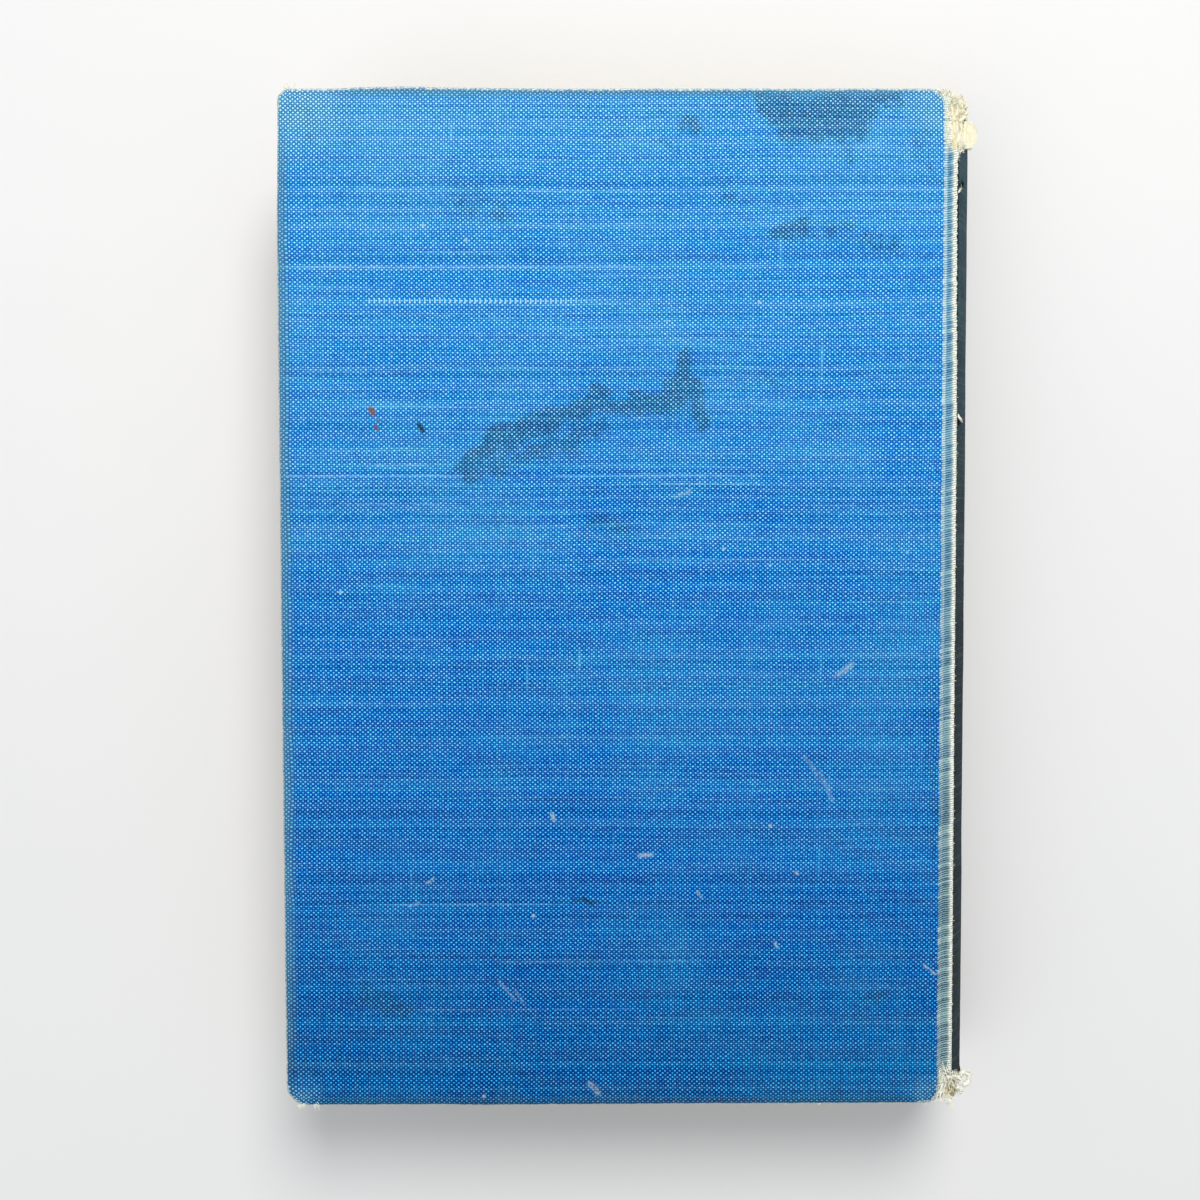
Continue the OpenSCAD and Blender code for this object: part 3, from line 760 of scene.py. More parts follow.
def bowed(plan, norm, back):
    """How far each point of the outline stands out from its straight line, mm."""
    if back:
        head, tail, fore = (np.array([px(u, v, EDGE_Z) for u, v in edge])
                            for edge in (HEAD_EDGE, TAIL_EDGE, FORE_EDGE))
        d_head = np.interp(plan[:, 0], *head.T) - Y1
        d_tail = Y0 - np.interp(plan[:, 0], *tail.T)
        d_fore = X0 - np.interp(plan[:, 1], fore[::-1, 1], fore[::-1, 0])
    else:
        d_head, d_tail, d_fore = (0.12 * noise2(plan[:, axis] / 30, 4.0 * k + 0.5, 3 + k)
                                  for k, axis in enumerate((0, 0, 1)))
    out_x, out_y = norm.T
    bow = (np.clip(out_y, 0, 1) ** 2 * d_head + np.clip(-out_y, 0, 1) ** 2 * d_tail
           + np.clip(-out_x, 0, 1) ** 2 * d_fore)
    return np.clip(bow, -0.24, 0.30)


def joint_strip(sh, back, ys, radii, board_out, board_in):
    """The cloth over the joint. It shares its first row, board_out and board_in, with the board's edge at ys."""
    path, seed = JOINT_PATH, 31 if back else 41
    tangent = directions(path)
    length = np.r_[0, np.cumsum(np.linalg.norm(np.diff(path, axis=0), axis=1))]
    more = np.linspace(0.35, 4.05, 11)  # rows past the board's corners
    v = np.r_[ys[0] - more[::-1], ys, ys[-1] + more]
    nu, nv = len(path), len(v)
    outer, inner, cloth = blank(nu, nv)
    for i, (x, z) in enumerate(path):
        loose = math.sin(math.pi * (i / (nu - 1)))
        dz = 0.05 * loose * noise2(i * 0.35, v / 2.2, seed) + 0.03 * loose * noise2(i * 0.9, v / 0.5, seed + 1)
        outer[i] = row(x, v, z + dz)
        inner[i] = row(x + tangent[i, 1] * JOINT_SHEET, v, z - tangent[i, 0] * JOINT_SHEET + dz)
        cloth[i] = row(PATH_S + length[i], v)
    for j in range(nv):  # the board's round corners draw the cloth in
        r = radii["hj"] if v[j] > 0 else radii["tj"]
        past = max(0.0, min(abs(v[j]) - (Y1 - r), r))
        back_by = r - math.sqrt(max(r * r - past * past, 0.0))
        for i in range(nu):
            pull = min(back_by, 2.2) * (1 - i / (nu - 1)) ** 2.2
            for side in (outer, inner):
                side[i, j] -= (pull, 0, 0.10 * min(pull, 1.0))
    first_out, first_in = -np.ones(nv, int), -np.ones(nv, int)
    first_out[len(more):-len(more)], first_in[len(more):-len(more)] = board_out, board_in
    keep = np.ones((nu - 1, nv - 1), bool)
    for i in range(nu - 1):
        for j in range(nv - 1):
            x, y = path[i, 0], (v[j] + v[j + 1]) / 2
            rag = 0.8 * float(noise2(x * 2.1, y * 1.3, seed + 2)) + 0.5 * float(noise2(x * 5, y * 0.4, seed + 3))
            (low, high), up, down = (JOINT_ENDS, 0.5, -0.5) if x < TORN_X else (TORN_ENDS[back], 1, 1)
            keep[i, j] = low + up * rag < y < high + down * rag
    sheet_into(sh, outer, inner, cloth, keep, None, None, first_out, first_in)


def cover_cloth(back):
    sh = Shell()
    radii = BACK_CORNERS if back else FRONT_CORNERS
    cell = 1.0 if back else 1.25
    xs, ys = along(X0 + INSET, X1 - INSET, 0.5, cell), along(Y0 + INSET, Y1 - INSET, 0.5, cell)
    nx, ny = len(xs), len(ys)
    loop = outline(xs, ys, radii)
    plan, norm, kind = zip(*loop)
    plan, norm = np.array(plan), np.array(norm, float)
    m = len(loop)
    out = bowed(plan, norm, back) + 0.05 * noise2(np.arange(m) * 0.9, 0.3, 11)
    wide = [(JOINT_CORNER_BARE if k == "c" and p[0] > 0 else BARE_WIDTH[k]) * (1.0 if back else FRONT_BARE)
            for p, k in zip(plan, kind)]

    def top(x, y):
        """Height of the cover's face, which is very slightly uneven, as an old board is."""
        r = min(x - X0, X1 - x, y - Y0, Y1 - y)
        return TOP + float(-0.045 * (1 + noise2(x / 26, y / 26, 21 if back else 22)) * smooth(1.0, 14.0, r))

    def ring(d, z, arc, edge=FAR_IN, low=False, clamp=None, clip=True):
        """One row round the outline: d is how far in it lies, arc how far along the cloth past the flat face."""
        ids = []
        for k in range(m):
            p = plan[k] - norm[k] * d + norm[k] * out[k] * clip
            if clamp is not None:
                p = np.clip(plan[k], (X0 + clamp, Y0 + clamp), (X1 - min(clamp, THICK), Y1 - clamp))
            height = z
            if kind[k] == "j" and abs(plan[k][1]) < GAUZE_Y:
                height = max(z, GAUZE_Z)
                if low:
                    p = np.array([X1 - min(d if clamp is None else THICK, THICK), plan[k][1]])
            if height > TOP - 0.01:
                height = top(*p)
            ids.append(sh.add((*p, height), plan[k] - norm[k] * (ROUND - arc), edge, wide[k]))
        return ids

    def face(height, turned):
        """The grid of the cover's outer or inner face. Returns its rim, a vertex for each point of the outline."""
        g = [[sh.add((x, y, height(x, y)), (x, y), FAR_IN if turned else -FAR_IN) for y in ys] for x in xs]
        for i in range(nx - 1):
            for j in range(ny - 1):
                q = (g[i][j], g[i + 1][j], g[i + 1][j + 1], g[i][j + 1])
                sh.face(*(q[::-1] if turned else q))
        c = (m - 2 * nx - 2 * ny) // 4
        tail, head = [column[0] for column in g], [column[-1] for column in g]
        return [i for side in (tail, g[-1], head[::-1], g[0][::-1]) for i in side + side[-1:] * c]

    rows = [ring(d, TOP, ROUND - d, -(d - ROUND + WORN_AT), clip=d < 1.5) for d in (2.9, 1.9, 1.3, 1.0)]
    for r in np.radians(np.linspace(0, 90, 9)):
        depth, height = ROUND - ROUND * math.sin(r), TOP - ROUND + ROUND * math.cos(r)
        rows.append(ring(depth, height, ROUND * r, ROUND * r - ROUND * math.pi / 4))
    for z in np.linspace(TOP - ROUND, UNDER + LOW_ROUND, 7)[1:]:
        rows.append(ring(0.0, z, ROUND * math.pi / 2 + (TOP - ROUND - z), WORN_AT + (TOP - ROUND - z)))
    for r in np.radians((30, 60, 90)):
        depth, height = LOW_ROUND - LOW_ROUND * math.cos(r), UNDER + LOW_ROUND - LOW_ROUND * math.sin(r)
        rows.append(ring(depth, height, 3.4 + LOW_ROUND * r, 1.0, low=True))
    rows += [ring(c, UNDER, 3.9 + c, low=True, clamp=c) for c in (1.6, 3.2, 8.0, TURN)]
    rows.append(ring(TURN, UNDER + THICK, 20.0, low=True, clamp=TURN))
    rows.append(ring(THICK, UNDER + THICK, 34.0, low=True, clip=False))
    for d, under, arc in ((THICK, THICK + 0.45, 36.0), (THICK + 0.13, THICK + 0.13, 36.5), (ROUND, THICK, 37.0)):
        rows.append(ring(d, TOP - under, arc, clip=False))
    rows = [face(top, False)] + rows + [face(lambda x, y: TOP - THICK, True)]

    # the cloth goes on over the joint from the middle of the bend, and its inner face comes back to the board's wall
    leaves, returns = 1 + 4 + 4, 1 + 4 + 8 + 1
    first = kind.index("j")
    for r in range(len(rows) - 1):
        for k in range(m):
            if not (leaves <= r < returns and first <= k < first + ny - 1):
                q = (k + 1) % m
                sh.face(rows[r][k], rows[r][q], rows[r + 1][q], rows[r + 1][k])
    joint_strip(sh, back, ys, radii, rows[leaves][first:first + ny], rows[returns][first:first + ny])
    if not back:  # the front cover is the same, turned over
        sh.turn_over()
    ob = build("back_cover_cloth" if back else "front_cover_cloth", sh, M_BACK if back else M_FRONT,
               back_stain if back else front_stain, worn_corners)
    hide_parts("back_cloth" if back else "front_cloth")
    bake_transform(ob)


# soiling on the back cover: a strength, and a stroke through pixels of the photograph with its radius in pixels
STAINS = [
    (0.88, [(460, 472, 6), (468, 465, 10), (484, 452, 13), (500, 441, 15), (520, 434, 16), (545, 424, 16),
            (568, 415, 15), (590, 408, 14), (610, 408, 9), (632, 408, 9), (650, 407, 12), (666, 402, 15)]),
    (0.58, [(470, 476, 8), (490, 468, 13), (516, 460, 16), (546, 450, 16), (578, 438, 14), (606, 426, 10)]),
    (0.86, [(594, 390, 10), (600, 398, 14), (604, 406, 12)]), (0.78, [(634, 396, 6), (640, 404, 9)]),
    (0.90, [(688, 349, 5), (686, 360, 9), (681, 375, 14), (677, 390, 18)]),
    (0.78, [(692, 378, 10), (699, 396, 11), (702, 414, 8), (702, 428, 5)]),
    (0.80, [(758, 101, 9), (800, 103, 12), (850, 103, 12), (896, 99, 8)]),
    (0.86, [(768, 115, 10), (800, 119, 14), (840, 119, 14), (874, 113, 10)]),
    (0.78, [(788, 130, 10), (815, 133, 13), (845, 133, 13), (862, 127, 9)]), (0.46, [(846, 148, 8), (850, 164, 7)]),
    (0.54, [(778, 234, 11), (790, 229, 11), (812, 233, 10)]), (0.80, [(802, 225, 6), (803, 231, 7)]),
    (0.58, [(824, 228, 10), (850, 232, 12)]), (0.60, [(866, 243, 11), (890, 247, 12)]),
    (0.80, [(688, 120, 8), (692, 130, 8)]), (0.40, [(655, 140, 6), (670, 146, 5)]),
    (0.46, [(460, 196, 22), (486, 204, 24), (506, 214, 14)]), (0.52, [(596, 524, 16), (622, 530, 16)]),
    (0.34, [(480, 520, 16), (516, 522, 16)]), (0.64, [(362, 998, 16), (384, 1004, 20), (404, 1012, 12)]),
    (0.54, [(864, 1008, 14), (880, 996, 13)]), (0.36, [(584, 964, 16), (600, 968, 14)]),
    (0.46, [(930, 700, 9), (934, 780, 8), (932, 860, 6)]), (0.38, [(300, 1040, 12), (312, 1080, 14)]),
    (0.34, [(500, 1090, 12), (700, 1092, 12), (900, 1085, 12)]), (0.34, [(286, 400, 7), (288, 560, 8)]),
    (0.36, [(720, 200, 8), (745, 196, 8)]), (0.30, [(440, 985, 10), (470, 1000, 9)]),
    (0.34, [(766, 380, 10), (780, 384, 8)]), (0.30, [(300, 110, 12), (312, 130, 10)]),
    (0.30, [(400, 735, 16), (420, 742, 14)]), (0.30, [(915, 130, 14), (930, 180, 9)])]
MM_PER_PIXEL = 0.189


def back_stain(co):
    x, y = co[:, 0], co[:, 1]
    value = np.zeros(len(co))
    wx, wy = (0.8 * noise2(x / 3.1, y / 3.1, seed) + 0.5 * noise2(x / 1.3, y / 1.3, seed + 2) for seed in (71, 72))
    for strength, stroke in STAINS:
        points = [(*px(u, v), r * MM_PER_PIXEL) for u, v, r in stroke]
        for (ax, ay, ar), (bx, by, br) in zip(points, points[1:]):
            dx, dy = bx - ax, by - ay
            qx, qy = x + wx - ax, y + wy - ay
            k = np.clip((qx * dx + qy * dy) / (dx * dx + dy * dy + 1e-9), 0, 1)
            ex, ey = qx - k * dx, qy - k * dy
            r = (ar + k * (br - ar)) * 1.10
            below = smooth(0.4, -0.8, ey / r)  # the upper edge is crisp and the lower one fades
            d = np.hypot(ex, ey) / (r * (1.05 + 0.65 * below))
            value = np.maximum(value, strength * (1 - 0.25 * below) * smooth(1.05, 0.35 - 0.35 * below, d))
    return value * ((co[:, 2] > TOP - 1) & (x < X1 - 0.1))


def front_stain(co):
    """The hidden front cover is soiled plainly, most near its edges."""
    r = np.minimum.reduce([co[:, 0] - X0, X1 - co[:, 0], co[:, 1] - Y0, Y1 - co[:, 1]])
    return np.clip(0.34 * smooth(16, 0, r) + 0.22 * noise2(co[:, 0] / 22, co[:, 1] / 22, 77), 0, 1)


# the bare corners: place, reach in mm, strength
CORNER_WEAR = [(X0, Y1, 18.0, 1.0), (X1, Y1, 12.0, 0.95), (X0, Y0, 9.0, 0.50), (X1, Y0, 8.0, 0.50)]


def worn_corners(co):
    """How bleached and rubbed the cloth is near each corner, from 0 to 1."""
    value = np.zeros(len(co))
    for x, y, reach, strength in CORNER_WEAR:
        value = np.maximum(value, strength * smooth(reach, 3.0, np.hypot(co[:, 0] - x, co[:, 1] - y)))
    return value


cover_cloth(True)
cover_cloth(False)


# ---------------------------------------------------------------- spine cloth, from ridge to ridge
CLOTH_THICK = 0.30
TEARS = ((6.1, 20), (2.7, 15))  # at the head and the tail: half its depth, and how far down it reaches, mm


def torn_edges(z):
    """Where the cloth of the spine is torn off at the head and the tail, at height z, apart from its raggedness."""
    deep, low = (depth * (1 + math.cos(math.pi * min(1, max(0, (TOP - z) / reach)))) for depth, reach in TEARS)
    front = 3.2 * float(smooth(8, 1, z))
    rise = 1.2 * float(smooth(27.4, 25.8, z) * smooth(19.5, 23.0, z))
    return 96.2 - deep - front + rise, -96.2 + low + 0.6 * front


def spine_cloth():
    sh = Shell()
    end_x, end_z = JOINT_PATH[-1]
    half = math.atan2(end_z - SPINE_Z, end_x - SPINE_X)
    ang = np.linspace(half, -half, 84)
    fine = np.arange(0, 16, 0.36)
    v = np.r_[Y0 + fine, np.arange(Y0 + 16, Y1 - 16.1, 1.15), Y1 - fine[::-1]]
    nu, nv = len(ang), len(v)
    outer, inner, cloth = blank(nu, nv)
    edge, head, tail = np.zeros((nu, nv)), np.zeros(nu), np.zeros(nu)
    for i, a in enumerate(ang):
        x, z = SPINE_X + SPINE_R * math.cos(a), SPINE_Z + SPINE_R * math.sin(a)
        head_y, tail_y = torn_edges(z)
        rag = 0.30 if z > 18 else 0.7  # the tear that the photograph shows is cleaner
        head[i] = (head_y - 1.5 * float(smooth(62.1, 61.4, x)) * (z > 14)
                   + rag * float(noise2(i * 0.22, 0.4, 51)) + 0.22 * float(noise2(i * 1.1, 3.4, 52)))
        tail[i] = tail_y + 0.6 * float(noise2(i * 0.25, 7.4, 53)) + 0.3 * float(noise2(i * 1.2, 9.4, 54))
        ripple = 0.06 * noise2(i * 0.20, v / 9, 55) + 0.02 * noise2(i * 0.8, v / 1.4, 56)
        ends = smooth(0, 2, v - tail[i]) * smooth(0, 2, head[i] - v)
        curl = 0.30 * smooth(2.2, 0.0, head[i] - v) + 0.30 * smooth(2.2, 0.0, v - tail[i])
        rise = np.minimum(ripple - 0.05, 0.0) * ends + curl * noise2(i * 0.5, v / 1.5, 57)
        rr = SPINE_R + rise * min(1.0, i / 3.0, (nu - 1 - i) / 3.0)
        for side, r in ((outer, rr), (inner, rr - CLOTH_THICK)):
            side[i] = row(SPINE_X + r * math.cos(a), v, SPINE_Z + r * math.sin(a))
        cloth[i] = row(62 + SPINE_R * (half - a), v)
        edge[i] = np.minimum(head[i] - v, v - tail[i])
    keep = np.ones((nu - 1, nv - 1), bool)
    for i in range(nu - 1):
        s = SPINE_R * (half - ang[i])
        for j in range(nv - 1):
            y = (v[j] + v[j + 1]) / 2
            nicked = any(sa <= s <= sb and abs(y - y0 - 0.35 * (s - sa)) < tall * (1 - 0.5 * (s - sa) / (sb - sa))
                         for y0, tall, sa, sb in NICKS)
            keep[i, j] = tail[i] < y < head[i] and not nicked
    sheet_into(sh, outer, inner, cloth, keep, edge, np.full((nu, nv), 0.35))
    ob = build("spine_strip_cloth", sh, M_SPINE)
    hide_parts("spine_cloth")
    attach(ob, "book_block")


spine_cloth()

# ---------------------------------------------------------------- torn paper over the ridge and the card
PAPER_RIDGE = [(60.02, 26.80), (60.32, 27.02), (60.72, 27.17), (61.10, 27.12), (61.45, 26.88), (61.80, 26.47)]
PAPER_ARC = (33.9, 14.0)  # from and to, degrees up from the spine's middle
PAPER_HALF = 0.06  # half its thickness
PAPER_CELL, PAPER_HEAD, PAPER_TAIL = 0.24, (82.6, 96.3), (-96.3, -88.0)


def torn_paper():
    """The paper skin left bare over the ridge and the card where the cloth is torn off at the head and the tail."""
    sh = Shell()
    arc = np.radians(np.linspace(*PAPER_ARC, 30))
    path = np.vstack([spline(PAPER_RIDGE, 14), np.c_[SPINE_X + CARD_R * np.cos(arc), SPINE_Z + CARD_R * np.sin(arc)]])
    tangent = directions(path)
    nu = len(path)
    for span, head in ((PAPER_HEAD, True), (PAPER_TAIL, False)):
        v = np.arange(*span, PAPER_CELL)
        outer, inner, cloth = blank(nu, len(v))
        relief = np.zeros((nu, len(v)))
        keep = np.zeros((nu - 1, len(v) - 1), bool)
        for i, (x, z) in enumerate(path):
            head_y, tail_y = torn_edges(z)
            bare = smooth(-0.3, 1.4, v - head_y if head else tail_y - v)  # 0 where the cloth still covers the paper
            fold = 1 - np.minimum(1, 3.2 * np.abs(noise2(i * 0.20 + v * 0.18, v / 3.4 - i * 0.05, 65)))
            crease = 1 - np.minimum(1, 4.0 * np.abs(noise2(i * 0.42 - v * 0.10, v / 1.7 + i * 0.05, 66)))
            crumple = 0.10 * noise2(i * 0.45, v / 0.9, 61) + 0.09 * noise2(i * 1.1, v / 0.45, 62)
            crumple += ((0.30 if head else 0.22) * fold + 0.16 * crease - 0.10) * smooth(0, 5, min(i, nu - 1 - i))
            crumple *= 0.75 + 0.6 * smooth(88.0, 93.0, np.abs(v))
            relief[i] = crumple = crumple * bare - 0.10 * (1 - bare)
            out_x, out_z = -tangent[i, 1], tangent[i, 0]
            if out_x * (x - SPINE_X) + out_z * (z - SPINE_Z) < 0:
                out_x, out_z = -out_x, -out_z
            for side, r in ((outer, crumple + PAPER_HALF), (inner, crumple - PAPER_HALF)):
                side[i] = row(x + out_x * r, v, z + out_z * r)
            cloth[i] = row(x, v)
            for j, y in enumerate((v[:-1] + v[1:]) / 2 if i < nu - 1 else ()):
                rag = 0.45 * float(noise2(x * 2.3, y * 1.1, 63)) + 0.30 * float(noise2(x * 6.0, y * 2.8, 64))
                if head:
                    limit = 64.2 + 1.1 * rag if y > 91.4 else 62.45 + 0.3 * rag
                    keep[i, j] = y < 95.4 + rag - 0.9 * max(0, x - 62.5) and x < limit
                else:
                    keep[i, j] = y > -95.3 - rag and x < 63.6 + rag
        sheet_into(sh, outer, inner, cloth, keep, relief)
    ob = build("torn_spine_paper", sh, M_TORN)
    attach(ob, "book_block")


torn_paper()

# ---------------------------------------------------------------- endpaper across each inner joint
STRIP_X = (X1 - 0.03, X1 + 0.33)  # from under the pastedown's edge to under the flyleaf's
STRIP_Z, STRIP_RISE = 24.75, 0.10  # over the gauze it starts higher
STRIP_IN, STRIP_OUT = 0.003, 0.14
GAUZE_END = GAUZE_Y + 0.1


def endpaper_joint(back, material):
    sh = Shell()
    ends = np.array([PAGE_Y1, PAGE_Y1 - 6.0])
    v = np.r_[-ends, np.linspace(-GAUZE_Y - 0.2, GAUZE_Y + 0.2, 60), ends[::-1]]
    outer, inner, cloth = blank(17, len(v))
    for i, k in enumerate(np.linspace(0, 1, len(outer))):
        x = STRIP_X[0] + (STRIP_X[1] - STRIP_X[0]) * k
        low = STRIP_Z + STRIP_RISE * (1 - k) * (np.abs(v) < GAUZE_END)
        outer[i], inner[i], cloth[i] = row(x, v, low + STRIP_OUT), row(x, v, low + STRIP_IN), row(x, v)
    sheet_into(sh, outer, inner, cloth, np.ones((len(outer) - 1, len(v) - 1), bool))
    if not back:
        sh.turn_over()
    ob = build("back_endpaper_joint" if back else "front_endpaper_joint", sh, material)
    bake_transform(ob)


def endpaper_strip_material():
    n = Nodes("endpaper_joint_paper", 0.9, 0.2)
    x, y, z = n.attribute("rest")
    v = n.vec(x, y, z)
    n.colour = n.mix(n.noise(v, 0.05, 4.0, 0.6).step(0.3, 0.7), (226, 214, 184), (217, 202, 168))
    n.tint(n.noise((x, y * 0.6, z), 2.0, 5.0, 0.7).step(0.5, 0.7) * 0.3, (150, 126, 90))
    n.bump(n.noise(v, 3.0, 4.0, 0.7), 0.03, 0.6)
    return n.done()


M_STRIP = endpaper_strip_material()
endpaper_joint(True, M_STRIP)
endpaper_joint(False, M_STRIP)

# ---------------------------------------------------------------- materials of the CAD nodes that stay
M_LEAVES = paper("aged_leaves", (226, 208, 168), (206, 184, 138), 0.25, 1.2, 0.10, lines=8.0)
M_END = paper("aged_endpaper", (226, 214, 184), (219, 205, 172), 0.16, 1.6, 0.03, foxing=0.30, toned=True)
M_LINING = paper("spine_lining_paper", (178, 152, 108), (150, 124, 84), 0.35, 1.4, 0.05)
# the card's strong dark fibre strokes are partly its grain, partly painted shade of the flake's creases
M_CARD = paper("spine_inlay_card", (244, 243, 222), (232, 228, 200), 0.42, 1.5, 0.16)
M_BOARD = paper("grey_strawboard", (148, 136, 110), (118, 106, 84), 0.55, 1.1, 0.08)
M_GAUZE = gauze_material()
for material, names in (
        (M_LEAVES, ["text_block"]), (M_LINING, ["spine_lining"]), (M_CARD, ["spine_card"]),
        (M_END, ["front_flyleaf", "back_flyleaf", "front_pastedown", "back_pastedown"]),
        (M_BOARD, ["front_board", "back_board"]), (M_GAUZE, ["spine_gauze", "front_gauze_flap", "back_gauze_flap"])):
    for name in names:
        NODES[name].data.materials.clear()
        NODES[name].data.materials.append(material)

# ---------------------------------------------------------------- frayed threads; every one is drawn in this order
rng = random.Random(5)
CLEAR_X, CLEAR_Z, RIDGE_TOP = 63.2, 24.3, 28.4  # past CLEAR_X a strand stays low, so the opening board misses it


def draw(value):
    """A number as it is, or a random one between the two of a pair."""
    return rng.uniform(*value) if isinstance(value, tuple) else value


def strand(start, direction, length, wander, n=9):
    """Points of a thread that wanders away from start."""
    p = np.array(start, float)
    d = np.array(direction, float)
    d /= np.linalg.norm(d)
    points = [p]
    for _ in range(n - 1):
        d = d + np.array([rng.uniform(-wander, wander) for _ in range(3)])
        d /= np.linalg.norm(d)
        p = p + d * length / (n - 1)
        points.append(p)
    return points


def at(u, v, z):
    """The point at height z that the photograph shows at pixel u, v."""
    return np.array([*px(u, v, z), z])


cover_strands = []


def frays(count, place, direction, length, wander, radius, n=9):
    """Strands of the cover's edge from a place in pixels and mm; a pair of numbers is a range to draw from."""
    for _ in range(count):
        root, lean = at(*map(draw, place)), [draw(c) for c in direction]
        cover_strands.append((strand(root, lean, rng.uniform(*length), wander, n), radius))


frays(26, ((283, 297), (91, 95), 27.4), ((-0.5, 0.5), 1, 0.08), (0.9, 1.9), 0.26, 0.085)  # head and fore-edge corner
for k in range(34):  # tuft at the tail and fore-edge corner
    side = -1 if k % 2 else 1
    root = at(310 + side * rng.uniform(0, 3), rng.uniform(1096.5, 1100), 27.5)
    lean = (0.85 * side + rng.uniform(-0.25, 0.25), -0.9, 0.10)
    cover_strands.append((strand(root, lean, rng.uniform(1.7, 2.7), 0.20), 0.11))
frays(20, ((922, 935), (1094, 1098), 27.3), ((-0.9, 0.6), -0.8, 0.1), (0.7, 1.8), 0.40, 0.075)  # tail, joint corner
frays(16, ((924, 935), (94, 98), 27.5), ((-0.4, 0.4), 1, 0.05), (0.7, 1.4), 0.35, 0.075)  # head, joint corner
frays(120, ((300, 925), 92.0, 27.6), ((-1, 1), 0.7, 0.0), (0.4, 0.9), 0.4, 0.04, 6)  # fuzz along the head edge
frays(90, ((330, 915), 1100.5, 27.5), ((-1, 1), -0.8, 0.1), (0.5, 1.1), 0.5, 0.05, 6)  # specks along the tail edge
for _ in range(80):  # fuzz along the fore-edge
    v = rng.uniform(110, 1075)
    root = at(281.5 + 9.0 * max(0, v - 230) / 840, v, 27.5)
    cover_strands.append((strand(root, (-0.7, rng.uniform(-1, 1), 0.0), rng.uniform(0.3, 0.8), 0.45, 6), 0.04))
threads("back_cover_frays", M_THREAD, "back_cover", cover_strands)

joint_strands, block_strands, curls = [], [], []


ROOT_R = 22.3  # radius on which the spine's strands stand
RIDGE_END, RIDGE_Z = 61.3, 27.2  # where the ridge ends, and its height


def spine_z(x):
    """Height of the spine's surface over x, in mm."""
    return SPINE_Z + math.sqrt(max(ROOT_R ** 2 - (x - SPINE_X) ** 2, 0.0)) if x > RIDGE_END else RIDGE_Z


def on_surface(u, v, x, height, tries):
    """The point of a surface, given by its height over x, that the photograph shows at pixel u, v."""
    for _ in range(tries):
        x, y = px(u, v, height(x))
    return x, y


def tuft(into, count, box, direction, spread, length, wander, radius, lift=0.05):
    """Strands rooted on the spine's own surface, inside a box of pixels of the photograph."""
    for _ in range(count):
        u, v = rng.uniform(box[0], box[2]), rng.uniform(box[1], box[3])
        x, y = on_surface(u, v, px(u, v, RIDGE_Z)[0], spine_z, 3)
        lean = [c + rng.uniform(-spread, spread) for c in direction]
        into.append((strand((x, y, spine_z(x) + lift), lean, rng.uniform(*length), wander), radius))


def tucked(strands):
    """Past the ridge the strands stay low, clear of the board's edge when the cover lies open at 180 degrees."""
    return [([(x, y, min(z, RIDGE_TOP if x < CLEAR_X else CLEAR_Z)) for x, y, z in points], radius)
            for points, radius in strands]


# count, box in pixels, lean and its spread, length and waver, radius
JOINT_TUFTS = (
    (80, (943, 95, 951, 150), (0.0, 0.7, 0.08), 0.5, (0.8, 1.9), 0.40, 0.055),  # over the joint's head
    (30, (941, 94, 948, 102), (0.1, 0.9, 0.10), 0.4, (1.0, 2.0), 0.30, 0.095),  # tuft past the head
    (22, (943, 92, 947, 96), (0.1, 1.0, 0.10), 0.25, (0.8, 1.5), 0.25, 0.130),
    (60, (937, 1060, 949, 1090), (-0.1, -0.8, 0.05), 0.6, (0.8, 1.8), 0.40, 0.050),  # strip at the tail
    (46, (938, 1066, 948, 1094), (0.0, -0.9, 0.08), 0.5, (1.2, 2.6), 0.25, 0.095),
    (16, (930, 1093, 942, 1098), (-0.7, -0.6, 0.05), 0.3, (1.2, 2.2), 0.25, 0.090),  # hanging there
    (16, (944, 1094, 950, 1099), (0.3, -1.0, 0.05), 0.3, (1.4, 2.6), 0.25, 0.090))
BLOCK_TUFTS = (
    (30, (950, 98, 958, 104), (0.3, 0.7, 0.15), 0.5, (0.7, 1.5), 0.40, 0.085),  # tufts past the head
    (26, (951, 100, 962, 124), (0.5, 0.5, 0.30), 0.6, (0.5, 1.2), 0.55, 0.055),  # in the torn paper
    (40, (957, 144, 965, 153), (0.2, 0.9, 0.20), 0.6, (0.5, 1.2), 0.50, 0.050),  # the dark cloth's tear
    (40, (951, 1070, 962, 1088), (0.2, -0.9, 0.15), 0.7, (0.8, 2.0), 0.45, 0.070))  # strip at the tail
for strands, groups in ((joint_strands, JOINT_TUFTS), (block_strands, BLOCK_TUFTS)):
    for group in groups:
        tuft(strands, *group)
for _ in range(150):  # cut weft ends along the ridge
    y = rng.uniform(-89, 77)
    x = 61.52 - 0.32 * float(smooth(30, 70, y)) + rng.uniform(-0.30, 0.05)
    lean = (0.9, rng.uniform(-0.4, 0.4), -0.45)
    block_strands.append((strand((x, y, 27.28), lean, rng.uniform(0.2, 0.48), 0.20, 5), 0.045))
for _ in range(12):  # white threads of the two nicks
    root = at(956.5 + rng.uniform(0, 2), 193 + rng.uniform(-2, 1), 27.3)
    block_strands.append((strand(root, (0.75, 0.75, -0.35), rng.uniform(0.9, 1.5), 0.10), 0.05))
    root = at(957 + rng.uniform(0, 1.5), 413 + rng.uniform(0, 4), 27.2)
    block_strands.append((strand(root, (0.70, -0.85, -0.50), rng.uniform(1.2, 1.9), 0.10), 0.055))

